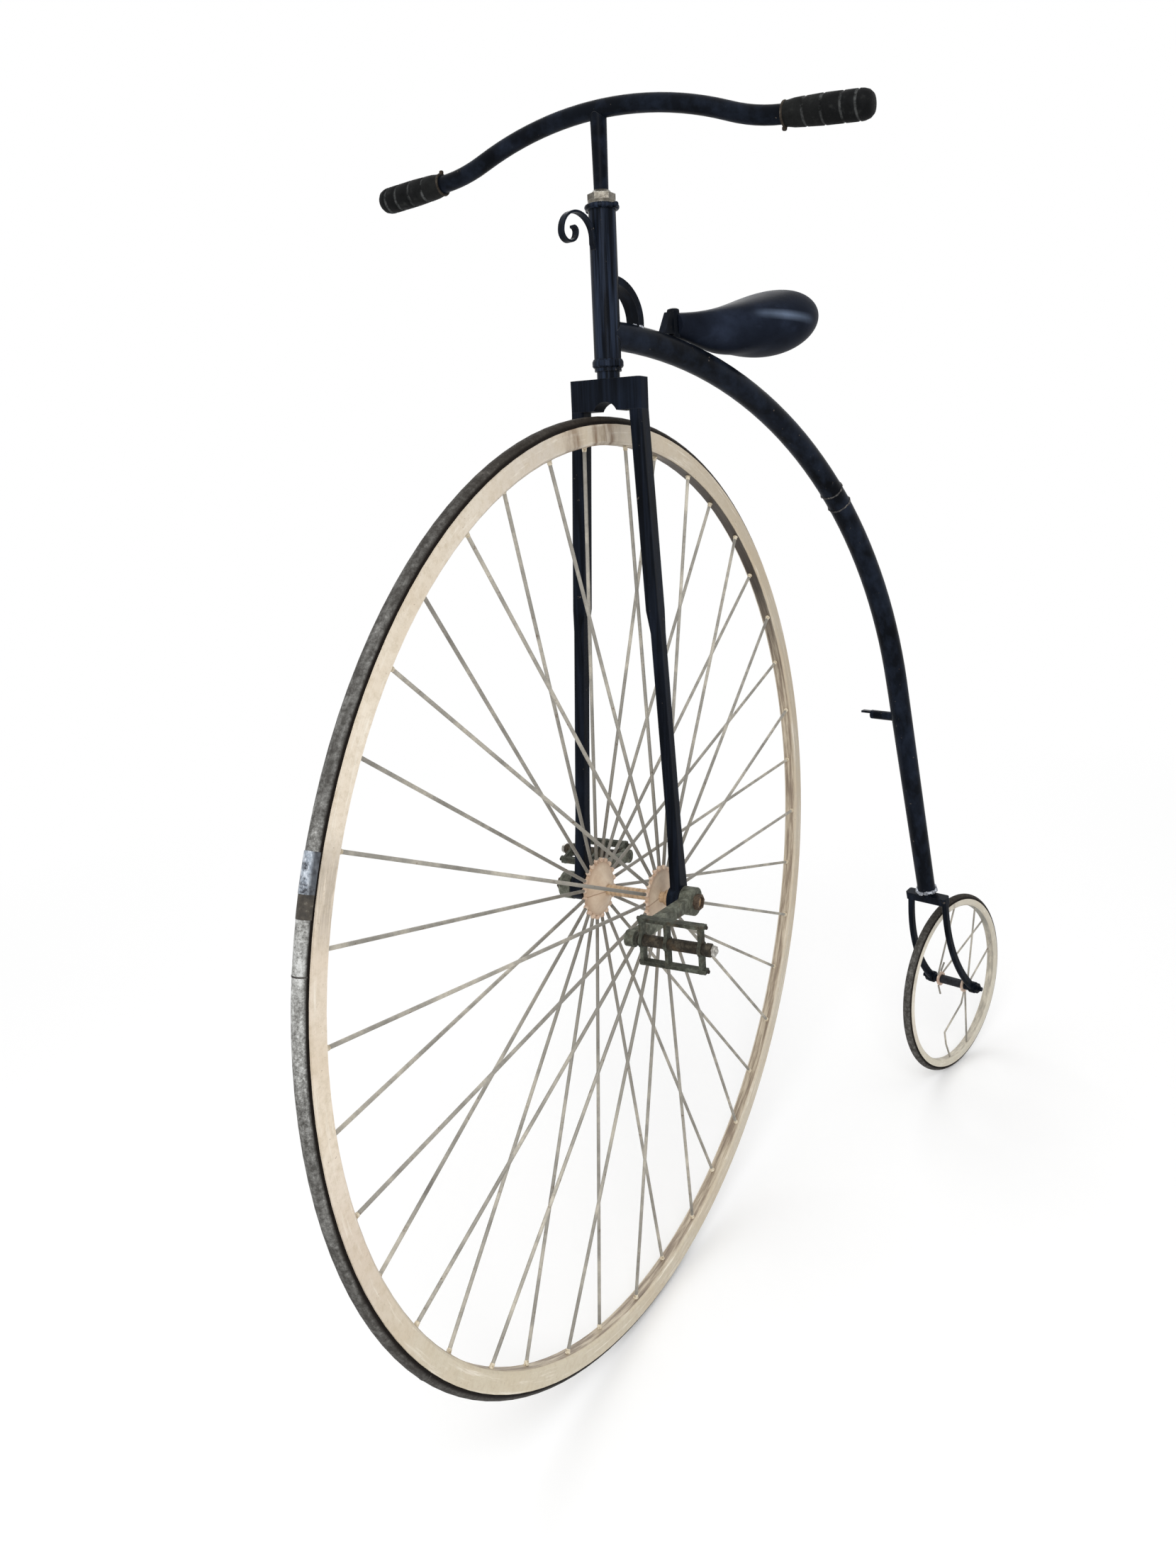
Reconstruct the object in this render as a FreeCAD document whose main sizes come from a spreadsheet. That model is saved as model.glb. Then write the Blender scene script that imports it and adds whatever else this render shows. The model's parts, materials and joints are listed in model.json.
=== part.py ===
import FreeCAD, Part
import math
import os
import re

import Sketcher
from FreeCAD import Placement, Rotation, Vector

# A penny farthing: a tall driving wheel with direct cranks, a straight fork turning in a
# raked head, one curved backbone, a moulded saddle, and a small trailing wheel.
# Axes: +Z up, the bicycle faces -X, the rider's left is -Y. The origin is the point on the
# saddle where the rider sits. Most pieces are drawn from the front axle, which the
# placement of each piece then puts below and ahead of the saddle.

doc = FreeCAD.newDocument("PennyFarthing")

# ---------------------------------------------------------------- driving dimensions

SIZES = [
    # alias, value (millimetres or degrees)
    ("axle_ahead", 335.0),         # saddle's sitting point to front axle, along the ground
    ("saddle_rise", 54.5),         # sitting point above the crest of the backbone
    ("rake_angle", 3.0),           # the steering axis leans back by this angle
    ("steer_angle", 15.2),         # at rest the fork stands turned this far to the rider's left
    ("seat_gap", 0.3),             # between shaped faces brazed or bolted together
    ("running_fit", 0.05),         # radial clearance of a shaft in its bearing
    ("side_play", 0.5),            # between faces that turn past each other
    # driving wheel
    ("wheel_radius", 647.0),
    ("tyre_section", 18.0),
    ("tyre_seat", 1.0),            # the rim's edges stop this far short of the tyre's middle
    ("rim_width", 22.0),
    ("rim_depth", 26.0),
    ("spoke_section", 4.8),
    ("spokes_a_side", 20),
    ("spoke_stagger", 3.0),
    ("spoke_set_angle", 6.0),
    ("hub_half_width", 48.5),
    ("flange_radius", 38.0),
    ("flange_thickness", 5.0),
    ("flange_dome", 13.0),
    ("flange_throat", 10.0),
    ("axle_radius", 7.5),
    ("bearing_inset", 68.0),
    ("bearing_width", 17.0),
    ("bearing_radius", 19.0),
    ("cone_radius", 13.0),
    ("cone_width", 9.0),
    # cranks and pedals
    ("crank_length", 166.0),
    ("crank_angle", 4.5),
    ("crank_inset", 86.5),
    ("crank_boss_width", 17.5),
    ("crank_boss_radius", 19.5),
    ("crank_eye_radius", 10.5),
    ("crank_arm_inset", 90.0),
    ("crank_arm_thickness", 12.0),
    ("crank_arm_root", 19.0),
    ("crank_arm_tip", 15.0),
    ("nut_width", 8.0),
    ("nut_across", 19.0),
    ("pin_radius", 5.0),
    ("pedal_gap", 5.0),
    ("pedal_length", 92.0),
    ("pedal_height", 62.0),
    ("pedal_barrel", 7.5),
    ("pedal_plate", 4.0),
    ("pedal_plate_depth", 12.0),
    ("pedal_rail", 5.0),
    ("pedal_rail_depth", 5.5),
    ("pedal_cap_radius", 8.5),
    ("pedal_cap_width", 8.0),
    # fork and crown
    ("crown_gap", 7.0),
    ("crown_height", 40.0),
    ("crown_width", 104.0),
    ("crown_depth", 27.0),
    ("notch_width", 34.0),
    ("notch_height", 11.0),
    ("leg_top_depth", 27.0),
    ("leg_top_thickness", 18.0),
    ("leg_foot_depth", 22.0),
    ("leg_foot_thickness", 15.0),
    ("leg_heel_depth", 29.0),
    ("leg_heel_thickness", 16.0),
    ("leg_heel_top", 105.0),       # below this height the blade swells towards the bearing
    ("leg_taper_top", 395.0),      # the blade narrows between these heights above the axle
    ("leg_taper_foot", 365.0),
    ("leg_set_back", 4.0),
    ("leg_corner", 5.0),
    # head and stem
    ("neck_radius", 14.8),
    ("neck_height", 9.5),
    ("collar_radius", 17.5),
    ("collar_height", 4.0),
    ("foot_ring_radius", 20.2),
    ("foot_ring_height", 10.5),
    ("head_radius", 17.5),
    ("head_height", 192.5),
    ("steerer_radius", 12.0),
    ("cap_ring_radius", 22.3),
    ("cap_ring_height", 7.0),
    ("lock_nut_radius", 17.8),
    ("lock_nut_height", 12.0),
    ("lock_nut_cone", 4.0),
    ("stem_foot_radius", 9.2),
    ("stem_top_radius", 10.6),
    ("stem_height", 105.8),
    # handlebar
    ("bar_radius", 11.2),
    ("bar_arch_radius", 500.0),
    ("bar_drop_angle", 21.2),
    ("bar_run", 3.0),
    ("bar_sweep_radius", 231.0),
    ("grip_drop_angle", 4.3),
    ("bar_turn_angle", -2.4),       # the bar is clamped a little off square to the wheel
    ("grip_length", 111.0),
    ("grip_radius", 17.0),
    ("grip_wall", 1.8),
    # head ornament and brace
    ("scroll_strip", 3.0),
    ("scroll_width", 9.0),
    ("scroll_root", 35.5),
    ("scroll_tail", 14.0),
    ("scroll_turn_one", 28.0),
    ("scroll_turn_two", 25.0),
    ("scroll_turn_three", 11.5),
    ("scroll_turn_four", 13.0),
    ("scroll_turn_five", 5.5),
    ("brace_radius", 50.0),
    ("brace_thickness", 10.0),
    ("brace_width", 22.0),
    ("brace_ahead", 44.0),
    ("brace_up", 15.5),
    # backbone
    ("spine_ahead", -11.4),
    ("spine_join", 42.5),          # the backbone's crest above the foot of the head
    ("spine_margin", 81.6),        # the backbone's bend is this much wider than the wheel
    ("spine_start_angle", 86.0),
    ("spine_end_angle", 11.5),
    ("rear_fork_height", 224.0),   # the backbone's foot above the rear axle
    ("rear_fork_reach", 89.9),     # and ahead of it
    ("spine_tube", 18.2),
    ("spine_foot_tube", 16.4),
    ("peg_drop", 68.0),
    ("peg_radius", 8.0),
    ("peg_length", 44.0),
    ("peg_tongue", 20.0),
    # rear fork and wheel
    ("rear_radius", 176.0),
    ("rear_tyre_section", 16.0),
    ("rear_rim_width", 18.0),
    ("rear_rim_depth", 13.0),
    ("rear_spoke_section", 3.6),
    ("rear_crown_width", 84.0),
    ("rear_crown_depth", 19.0),
    ("rear_crown_height", 15.0),
    ("rear_neck_radius", 15.0),
    ("rear_neck_height", 11.0),
    ("rear_leg_depth", 16.0),
    ("rear_leg_thickness", 9.0),
    ("rear_leg_half_gap", 36.0),
    ("rear_leg_run", 20.0),
    ("rear_leg_start_angle", 2.0),
    ("rear_eye_radius", 11.0),
    ("rear_eye_inset", 39.5),
    ("rear_eye_width", 10.0),
    ("rear_axle_radius", 5.0),
    ("rear_axle_end", 63.5),
    ("rear_axle_tip", 6.5),
    ("rear_axle_tip_radius", 4.2),
    ("rear_nut_width", 7.0),
    ("rear_nut_across", 17.0),
    ("rear_hub_half_width", 26.0),
    ("rear_hub_radius", 8.5),
    ("rear_flange_radius", 14.0),
    ("rear_flange_width", 3.0),
    ("rear_collar_gap", 1.0),
    ("rear_wire_gap", 1.2),        # the wires start this far outside the hub's flanges
    # saddle
    ("saddle_nose", 170.0),
    ("bracket_width", 12.0),
    ("bracket_reach", 27.0),       # the lug's foot ahead of the post
    ("bracket_top", 31.0),         # the post's top above the crest of the backbone
    ("post_radius", 8.5),
    ("saddle_bolt_radius", 4.0),
    ("saddle_bolt_head", 3.0),
]

# Sections of the saddle, front to back: each one's place behind the saddle's nose, half its
# width, and its top and foot above the crest of the backbone (below it where negative).
SADDLE_SECTIONS = (
    ("a", 0.0, 16.0, 28.0, -2.5),
    ("b", 20.0, 18.0, 29.1, -6.6),
    ("c", 60.0, 26.0, 32.5, -17.0),
    ("d", 105.0, 49.0, 40.0, -25.0),
    ("e", 150.0, 72.0, 50.5, -26.5),
    ("f", 195.0, 79.0, 61.5, -29.5),
    ("g", 240.0, 67.0, 65.5, -20.5),
    ("h", 275.0, 43.0, 55.5, -2.5),
    ("i", 296.0, 17.0, 35.5, 19.5),
)
for letter, behind, half_width, top, foot in SADDLE_SECTIONS:
    SIZES.append((f"saddle_{letter}_behind", behind))
    SIZES.append((f"saddle_{letter}_half_width", half_width))
    SIZES.append((f"saddle_{letter}_top", top))
    SIZES.append((f"saddle_{letter}_foot", foot))

sheet = doc.addObject("Spreadsheet::Sheet", "Dimensions")
for row, (alias, number) in enumerate(SIZES, start=1):
    sheet.set(f"A{row}", alias)
    sheet.set(f"B{row}", str(number))
    sheet.setAlias(f"B{row}", alias)
doc.recompute()

ALIASES = {alias for alias, number in SIZES}


def named(text):
    """Turn a formula of sheet names, such as "rim_depth / 2", into a FreeCAD expression."""
    def full(match):
        word = match.group()
        return f"Dimensions.{word}" if word in ALIASES else word
    return re.sub(r"[a-z_]+", full, text)


def value(text):
    """The number that a formula of sheet names gives now."""
    return float(sheet.evalExpression(named(text)))


# Formulas that several pieces share.
RIM_TOP = "(wheel_radius - tyre_section / 2 - tyre_seat)"
RIM_FOOT = f"({RIM_TOP} - rim_depth)"
CROWN_FOOT = "(wheel_radius + crown_gap)"
CROWN_TOP = f"({CROWN_FOOT} + crown_height)"
NECK_TOP = f"({CROWN_TOP} + neck_height)"
LOWER_RING_TOP = f"({NECK_TOP} + collar_height)"
HEAD_FOOT = f"({LOWER_RING_TOP} + side_play)"
HEAD_TOP = f"({HEAD_FOOT} + head_height)"
CAP_TOP = f"({HEAD_TOP} + cap_ring_height)"
LOCK_FOOT = f"({CAP_TOP} + side_play)"
LOCK_TOP = f"({LOCK_FOOT} + lock_nut_height)"
STEERER_TOP = f"({LOCK_FOOT} + lock_nut_height / 2)"
BAR_HEIGHT = f"({STEERER_TOP} + stem_height)"
SPINE_RADIUS = "(wheel_radius + spine_margin)"
CREST = f"({HEAD_FOOT} + spine_join)"
SPINE_UP = f"({CREST} - {SPINE_RADIUS})"
AXLE_BELOW = f"({CREST} + saddle_rise)"
BEARING_END = "(bearing_inset + bearing_width)"
CRANK_END = "(crank_inset + crank_boss_width)"
# outer faces of the fork's blades, at the crown and at the axle
LEG_TOP_FACE = "(crown_width / 2)"
LEG_FOOT_FACE = "(bearing_inset + bearing_width / 2 + leg_heel_thickness / 2)"
REAR_RIM_TOP = "(rear_radius - rear_tyre_section / 2 - tyre_seat)"
REAR_RIM_FOOT = f"({REAR_RIM_TOP} - rear_rim_depth)"
REAR_UP = "(rear_radius - wheel_radius)"
SPINE_TOP_X = f"(spine_ahead + {SPINE_RADIUS} * cos(spine_end_angle))"
SPINE_TOP_Z = f"({SPINE_UP} + {SPINE_RADIUS} * sin(spine_end_angle))"
SPINE_RUN = f"(({SPINE_TOP_Z} - {REAR_UP} - rear_fork_height) / cos(spine_end_angle))"
SPINE_FOOT_X = f"({SPINE_TOP_X} + {SPINE_RUN} * sin(spine_end_angle))"
SPINE_FOOT_Z = f"({REAR_UP} + rear_fork_height)"
REAR_BEHIND = f"({SPINE_FOOT_X} + rear_fork_reach)"
PEDAL_INSET = "(crank_arm_inset + crank_arm_thickness + pedal_gap)"
PEDAL_END = f"({PEDAL_INSET} + pedal_length)"
SIDES = (("left", -1), ("right", 1))


# ---------------------------------------------------------------- drawing helpers

# The fork and all it carries turn about the raked axis through the front axle.
STEERED_TURN = ("rotation(vector(0; 1; 0); rake_angle) * rotation(vector(0; 0; 1); steer_angle)"
                " * rotation(vector(0; 1; 0); -rake_angle)")
STRAIGHT = "rotation(vector(0; 1; 0); 0)"


def make_body(node, x="0", z="0", lean="0", steered=False, off_square="0"):
    """A body named after its node, placed from the front axle and leaned about Y."""
    body = doc.addObject("PartDesign::Body", node)
    body.AllowCompound = True
    turn = STEERED_TURN if steered else STRAIGHT
    front_axle = f"placement(vector(-axle_ahead; 0; -{AXLE_BELOW}); {turn})"
    own = f"placement(vector({x}; 0; {z}); rotation(vector(0; 1; 0); {lean}))"
    clamped = f"placement(vector(0; 0; 0); rotation(vector(0; 0; 1); {off_square}))"
    body.setExpression("Placement", named(f"{front_axle} * {own} * {clamped}"))
    return body


def origin_part(body, role):
    for item in body.Origin.OriginFeatures:
        if item.Role == role:
            return item
    raise ValueError(role)


def new_sketch(body, name, role, shift=("0", "0", "0"), turn=None):
    """A sketch on one of the body's own planes, shifted and turned in its own directions."""
    sketch = body.newObject("Sketcher::SketchObject", f"{body.Name}_{name}")
    sketch.AttachmentSupport = [(origin_part(body, role), "")]
    sketch.MapMode = "FlatFace"
    axis = Vector(1, 0, 0) if turn is None else turn[0]
    sketch.AttachmentOffset = Placement(Vector(), Rotation(axis, 1))
    for direction, amount in zip("xyz", shift):
        sketch.setExpression(f"AttachmentOffset.Base.{direction}", named(amount))
    sketch.setExpression("AttachmentOffset.Rotation.Angle", named("0" if turn is None else turn[1]))
    return sketch


def fix(sketch, kind, geometry, point, formula):
    """Tie one coordinate or radius of a sketch to a formula of sheet names."""
    amount = value(formula)
    if kind == "Radius":
        index = sketch.addConstraint(Sketcher.Constraint(kind, geometry, amount))
    else:
        index = sketch.addConstraint(Sketcher.Constraint(kind, -1, 1, geometry, point, amount))
    sketch.setExpression(f"Constraints[{index}]", named(formula))


def draw(sketch, start, steps, closed=True):
    """Draw an outline from start through steps.

    A step is (x, y) for a straight line, or (x, y, radius, turn) for an arc that turns
    left (1) or right (-1) on its way to (x, y). All are formulas of sheet names.
    """
    here = start
    ends = []
    for step in steps:
        a = Vector(value(here[0]), value(here[1]), 0)
        b = Vector(value(step[0]), value(step[1]), 0)
        if len(step) == 2:
            ends.append((sketch.addGeometry(Part.LineSegment(a, b)), 1, 2))
        else:
            radius, side = value(step[2]), step[3]
            chord = b - a
            rise = math.sqrt(max(radius ** 2 - chord.Length ** 2 / 4, 0))
            left = Vector(-chord.y, chord.x, 0).normalize()
            centre = (a + b) * 0.5 + left * (rise * side)
            middle = centre - left * (radius * side)
            geometry = sketch.addGeometry(Part.Arc(a, middle, b))
            # a left-turning arc keeps its direction, a right-turning one is stored reversed
            ends.append((geometry, 1, 2) if side > 0 else (geometry, 2, 1))
            if rise > 0.05:
                fix(sketch, "Radius", geometry, 0, step[2])
            elif abs(chord.x) < abs(chord.y):
                # a half circle: its middle is level with both its ends
                fix(sketch, "DistanceX", geometry, 3, step[0])
            else:
                fix(sketch, "DistanceY", geometry, 3, step[1])
        geometry, first, last = ends[-1]
        fix(sketch, "DistanceX", geometry, last, step[0])
        fix(sketch, "DistanceY", geometry, last, step[1])
        here = step
    joins = list(zip(ends, ends[1:]))
    if closed:
        joins.append((ends[-1], ends[0]))
    else:
        fix(sketch, "DistanceX", ends[0][0], ends[0][1], start[0])
        fix(sketch, "DistanceY", ends[0][0], ends[0][1], start[1])
    for before, after in joins:
        sketch.addConstraint(Sketcher.Constraint("Coincident", before[0], before[2], after[0], after[1]))
    return sketch


def circle(sketch, x, y, radius):
    geometry = sketch.addGeometry(Part.Circle(Vector(value(x), value(y), 0), Vector(0, 0, 1), value(radius)))
    fix(sketch, "DistanceX", geometry, 3, x)
    fix(sketch, "DistanceY", geometry, 3, y)
    fix(sketch, "Radius", geometry, 0, radius)
    return sketch


def slot(sketch, x, y, depth, thickness):
    """A rounded bar section: depth along the sketch's x, half-round front and back."""
    half = f"(({depth}) - ({thickness})) / 2"
    low = f"({y}) - ({thickness}) / 2"
    high = f"({y}) + ({thickness}) / 2"
    front = f"({x}) - {half}"
    back = f"({x}) + {half}"
    radius = f"({thickness}) / 2"
    return draw(sketch, (front, low), [
        (back, low),
        (back, high, radius, 1),
        (front, high),
        (front, low, radius, 1),
    ])


def bar_section(sketch, x, y, depth, thickness, corner):
    """A bar section with rounded corners: depth along the sketch's x, thickness along its y."""
    front, back = f"({x}) - {depth} / 2", f"({x}) + {depth} / 2"
    low, high = f"({y}) - {thickness} / 2", f"({y}) + {thickness} / 2"
    return draw(sketch, (f"{front} + {corner}", low), [
        (f"{back} - {corner}", low),
        (back, f"{low} + {corner}", corner, 1),
        (back, f"{high} - {corner}"),
        (f"{back} - {corner}", high, corner, 1),
        (f"{front} + {corner}", high),
        (front, f"{high} - {corner}", corner, 1),
        (front, f"{low} + {corner}"),
        (f"{front} + {corner}", low, corner, 1),
    ])


def oval(sketch, half_width, top, foot):
    """An ellipse on the sketch's y axis, tied to its width, top and foot."""
    middle = f"(({top}) + ({foot})) / 2"
    half_height = f"(({top}) - ({foot})) / 2"
    centre = Vector(0, value(middle), 0)
    ellipse = sketch.addGeometry(Part.Ellipse(centre, value(half_width), value(half_height)))
    fix(sketch, "DistanceX", ellipse, 3, "0")
    fix(sketch, "DistanceY", ellipse, 3, middle)
    # three points of the curve: its widest, its highest, and one between
    for across, up in (("1", "0"), ("0", "1"), ("0.6", "0.8")):
        x = f"{across} * ({half_width})"
        y = f"{middle} + {up} * {half_height}"
        point = sketch.addGeometry(Part.Point(Vector(value(x), value(y), 0)), True)
        fix(sketch, "DistanceX", point, 1, x)
        fix(sketch, "DistanceY", point, 1, y)
        sketch.addConstraint(Sketcher.Constraint("PointOnObject", point, 1, ellipse))
    return sketch


def revolve(body, sketch, axis, angle="360", cut=False):
    kind = "PartDesign::Groove" if cut else "PartDesign::Revolution"
    feature = body.newObject(kind, f"{sketch.Name}_turned")
    feature.Profile = sketch
    feature.ReferenceAxis = (sketch, [axis])
    feature.setExpression("Angle", named(angle))
    return feature


def pad(body, sketch, length, both_ways=False, backwards=False):
    feature = body.newObject("PartDesign::Pad", f"{sketch.Name}_pad")
    feature.Profile = sketch
    feature.setExpression("Length", named(length))
    feature.Midplane = both_ways
    feature.Reversed = backwards
    return feature


def pocket(body, sketch, length, both_ways=False, backwards=False):
    feature = body.newObject("PartDesign::Pocket", f"{sketch.Name}_pocket")
    feature.Profile = sketch
    feature.setExpression("Length", named(length))
    feature.Midplane = both_ways
    feature.Reversed = backwards
    return feature


def loft(body, sketches, straight=False):
    feature = body.newObject("PartDesign::AdditiveLoft", f"{body.Name}_loft")
    feature.Ruled = straight
    feature.Profile = sketches[0]
    feature.Sections = sketches[1:]
    return feature


def sweep(body, profile, path, edges):
    feature = body.newObject("PartDesign::AdditivePipe", f"{body.Name}_sweep")
    feature.Profile = profile
    feature.Spine = (path, [f"Edge{number}" for number in range(1, edges + 1)])
    return feature


def cylinder(body, name, radius, height, base=("0", "0", "0"), turn=None, cut=False):
    """A primitive cylinder standing on base, turned about an axis by a formula."""
    kind = "PartDesign::SubtractiveCylinder" if cut else "PartDesign::AdditiveCylinder"
    feature = body.newObject(kind, f"{body.Name}_{name}")
    axis, angle = (Vector(1, 0, 0), "0") if turn is None else turn
    feature.Placement = Placement(Vector(), Rotation(axis, 1))
    feature.setExpression("Radius", named(radius))
    feature.setExpression("Height", named(height))
    for direction, amount in zip("xyz", base):
        feature.setExpression(f"Placement.Base.{direction}", named(amount))
    feature.setExpression("Placement.Rotation.Angle", named(angle))
    return feature


ABOUT_X = Vector(1, 0, 0)
ABOUT_Y = Vector(0, 1, 0)


def turned_about_y(body, name, corners, shift=("0", "0", "0")):
    """Turn a closed outline of (y, radius) corners about the body's Y direction."""
    sketch = new_sketch(body, name, "YZ_Plane", shift)
    draw(sketch, corners[0], corners[1:] + corners[:1])
    return revolve(body, sketch, "H_Axis")


def turned_about_z(body, name, corners):
    """Turn a closed outline of (radius, z) corners about the body's Z direction."""
    sketch = new_sketch(body, name, "XZ_Plane")
    draw(sketch, corners[0], corners[1:] + corners[:1])
    return revolve(body, sketch, "V_Axis")


def cut_spine(body):
    """Cope a piece to the round top of the backbone, a small gap off it."""
    sketch = new_sketch(body, "spine_cope", "YZ_Plane", ("0", SPINE_UP, "spine_ahead"))
    circle(sketch, "0", SPINE_RADIUS, "spine_tube + seat_gap")
    return revolve(body, sketch, "H_Axis", cut=True)


def cut_head(body):
    """Cope a piece of the frame to the round head tube, a small gap off it."""
    return cylinder(body, "head_cope", "head_radius + seat_gap", HEAD_TOP,
                    turn=(ABOUT_Y, "rake_angle"), cut=True)


# ---------------------------------------------------------------- driving wheel

def make_tyre(node, radius, section, **place):
    """A solid round rubber tyre, bent into a hoop."""
    body = make_body(node, **place)
    sketch = circle(new_sketch(body, "section", "YZ_Plane"), "0", f"{radius} - {section} / 2", f"{section} / 2")
    revolve(body, sketch, "H_Axis")


def make_rim(node, top, foot, width, section, tyre_centre, **place):
    """A flat-sided rolled rim with a round trough that the solid tyre lies in."""
    body = make_body(node, **place)
    half = f"{width} / 2"
    trough = f"({section} / 2 + seat_gap)"
    # the trough's circle meets the rim's top line this far from the middle
    mouth = f"sqrt({trough} * {trough} - ({top} - {tyre_centre}) * ({top} - {tyre_centre}))"
    corner = f"{half} * 0.35"
    sketch = new_sketch(body, "section", "YZ_Plane")
    draw(sketch, (f"-{half}", f"{top}"), [
        (f"-{half}", f"{foot} + {corner}"),
        (f"-{half} + {corner}", f"{foot}"),
        (f"{half} - {corner}", f"{foot}"),
        (f"{half}", f"{foot} + {corner}"),
        (f"{half}", f"{top}"),
        (mouth, f"{top}"),
        (f"-{mouth}", f"{top}", trough, -1),
        (f"-{half}", f"{top}"),
    ])
    revolve(body, sketch, "H_Axis")


def make_front_spokes(side_name, side, first_angle):
    """Straight wires from the edge of one hub flange to the rim, laced radially."""
    body = make_body(f"front_spokes_{side_name}", lean=first_angle, steered=True)
    start = "(flange_radius + seat_gap)"
    end = f"({RIM_FOOT} - seat_gap)"
    inward = "(hub_half_width - spoke_stagger)"
    tilt = f"{side} * atan({inward} / ({end} - {start}))"
    length = f"sqrt({inward} * {inward} + ({end} - {start}) * ({end} - {start}))"
    wire = cylinder(body, "wire", "spoke_section / 2", length,
                    ("0", f"{side} * hub_half_width", start), (ABOUT_X, tilt))
    doc.recompute()
    pattern = body.newObject("PartDesign::PolarPattern", f"{body.Name}_pattern")
    pattern.Originals = [wire]
    pattern.Axis = (origin_part(body, "Y_Axis"), [""])
    pattern.Angle = 360
    pattern.setExpression("Occurrences", named("spokes_a_side"))
    body.Tip = pattern


def make_hub_flange(side_name, side):
    """A turned flange with a domed inner face, keyed on the axle."""
    body = make_body(f"hub_flange_{side_name}", steered=True)
    bore = "(axle_radius + running_fit)"
    inner = f"{side} * (hub_half_width - flange_thickness / 2)"
    outer = f"{side} * (hub_half_width + flange_thickness / 2)"
    neck = f"{side} * (hub_half_width - flange_thickness / 2 - flange_dome)"
    turned_about_y(body, "outline", [
        (outer, bore),
        (outer, "flange_radius"),
        (inner, "flange_radius"),
        (f"{side} * (hub_half_width - flange_thickness / 2 - flange_dome / 3)", "flange_radius * 0.72"),
        (neck, "flange_throat"),
        (neck, bore),
    ])


def make_front_axle():
    """The driving axle, with a bearing cone against the inside of each fork bearing."""
    body = make_body("front_axle", steered=True)
    end = f"({CRANK_END} + nut_width / 2)"
    outer = "(bearing_inset - side_play)"
    inner = f"({outer} - cone_width)"
    turned_about_y(body, "outline", [
        (f"-{end}", "0"),
        (f"-{end}", "axle_radius"),
        (f"-{outer}", "axle_radius"),
        (f"-{outer}", "cone_radius"),
        (f"-{inner}", "cone_radius * 0.8"),
        (f"-{inner}", "axle_radius"),
        (f"{inner}", "axle_radius"),
        (f"{inner}", "cone_radius * 0.8"),
        (f"{outer}", "cone_radius"),
        (f"{outer}", "axle_radius"),
        (end, "axle_radius"),
        (end, "0"),
    ])


def make_crank(side_name, side):
    """A cast crank arm: a round boss on the axle, a tapering arm, a small eye at the pedal."""
    angle = "crank_angle" if side < 0 else "crank_angle + 180"
    body = make_body(f"crank_{side_name}", lean=angle, steered=True)
    # drawn pointing forward along -X, then leaned up to its angle
    arm = new_sketch(body, "arm", "XZ_Plane", ("0", "0", f"-{side} * crank_arm_inset"))
    draw(arm, ("0", "-crank_arm_root / 2"), [
        ("0", "crank_arm_root / 2"),
        ("-crank_length", "crank_arm_tip / 2"),
        ("-crank_length", "-crank_arm_tip / 2", "crank_arm_tip / 2", 1),
        ("0", "-crank_arm_root / 2"),
    ])
    pad(body, arm, "crank_arm_thickness", backwards=side > 0)
    boss = circle(new_sketch(body, "boss", "XZ_Plane", ("0", "0", f"-{side} * crank_inset")),
                  "0", "0", "crank_boss_radius")
    pad(body, boss, "crank_boss_width", backwards=side > 0)
    eye = circle(new_sketch(body, "eye", "XZ_Plane", ("0", "0", f"-{side} * crank_arm_inset")),
                 "-crank_length", "0", "crank_eye_radius")
    pad(body, eye, "crank_arm_thickness", backwards=side > 0)
    # the axle's hole goes right through, the pedal pin's hole too
    hole = circle(new_sketch(body, "axle_hole", "XZ_Plane"), "0", "0", "axle_radius + running_fit")
    pocket(body, hole, f"2 * {CRANK_END} + nut_width", both_ways=True)
    pin_hole = circle(new_sketch(body, "pin_hole", "XZ_Plane"), "-crank_length", "0", "pin_radius + running_fit")
    pocket(body, pin_hole, f"2 * {CRANK_END} + nut_width", both_ways=True)


def hexagon(sketch, across):
    """A hexagonal outline about the sketch's origin, flats above and below."""
    corners = []
    for turn in range(6):
        corners.append((f"({across}) / sqrt(3) * cos({turn * 60})", f"({across}) / sqrt(3) * sin({turn * 60})"))
    return draw(sketch, corners[0], corners[1:] + corners[:1])


def make_nuts(node, inner, width, across, bore, **place):
    """A pair of plain hexagonal nuts, one on each end of a shaft."""
    body = make_body(node, **place)
    for side_name, side in SIDES:
        sketch = hexagon(new_sketch(body, side_name, "XZ_Plane", ("0", "0", f"-{side} * {inner}")), across)
        circle(sketch, "0", "0", bore)
        pad(body, sketch, width, backwards=side > 0)


# ---------------------------------------------------------------- pedals

def pedal_place(side):
    """Where a pedal pin's middle line lies: ahead of and above the axle, or behind and below."""
    x = f"{side} * crank_length * cos(crank_angle)"
    z = f"-({side}) * crank_length * sin(crank_angle)"
    return x, z


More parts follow.
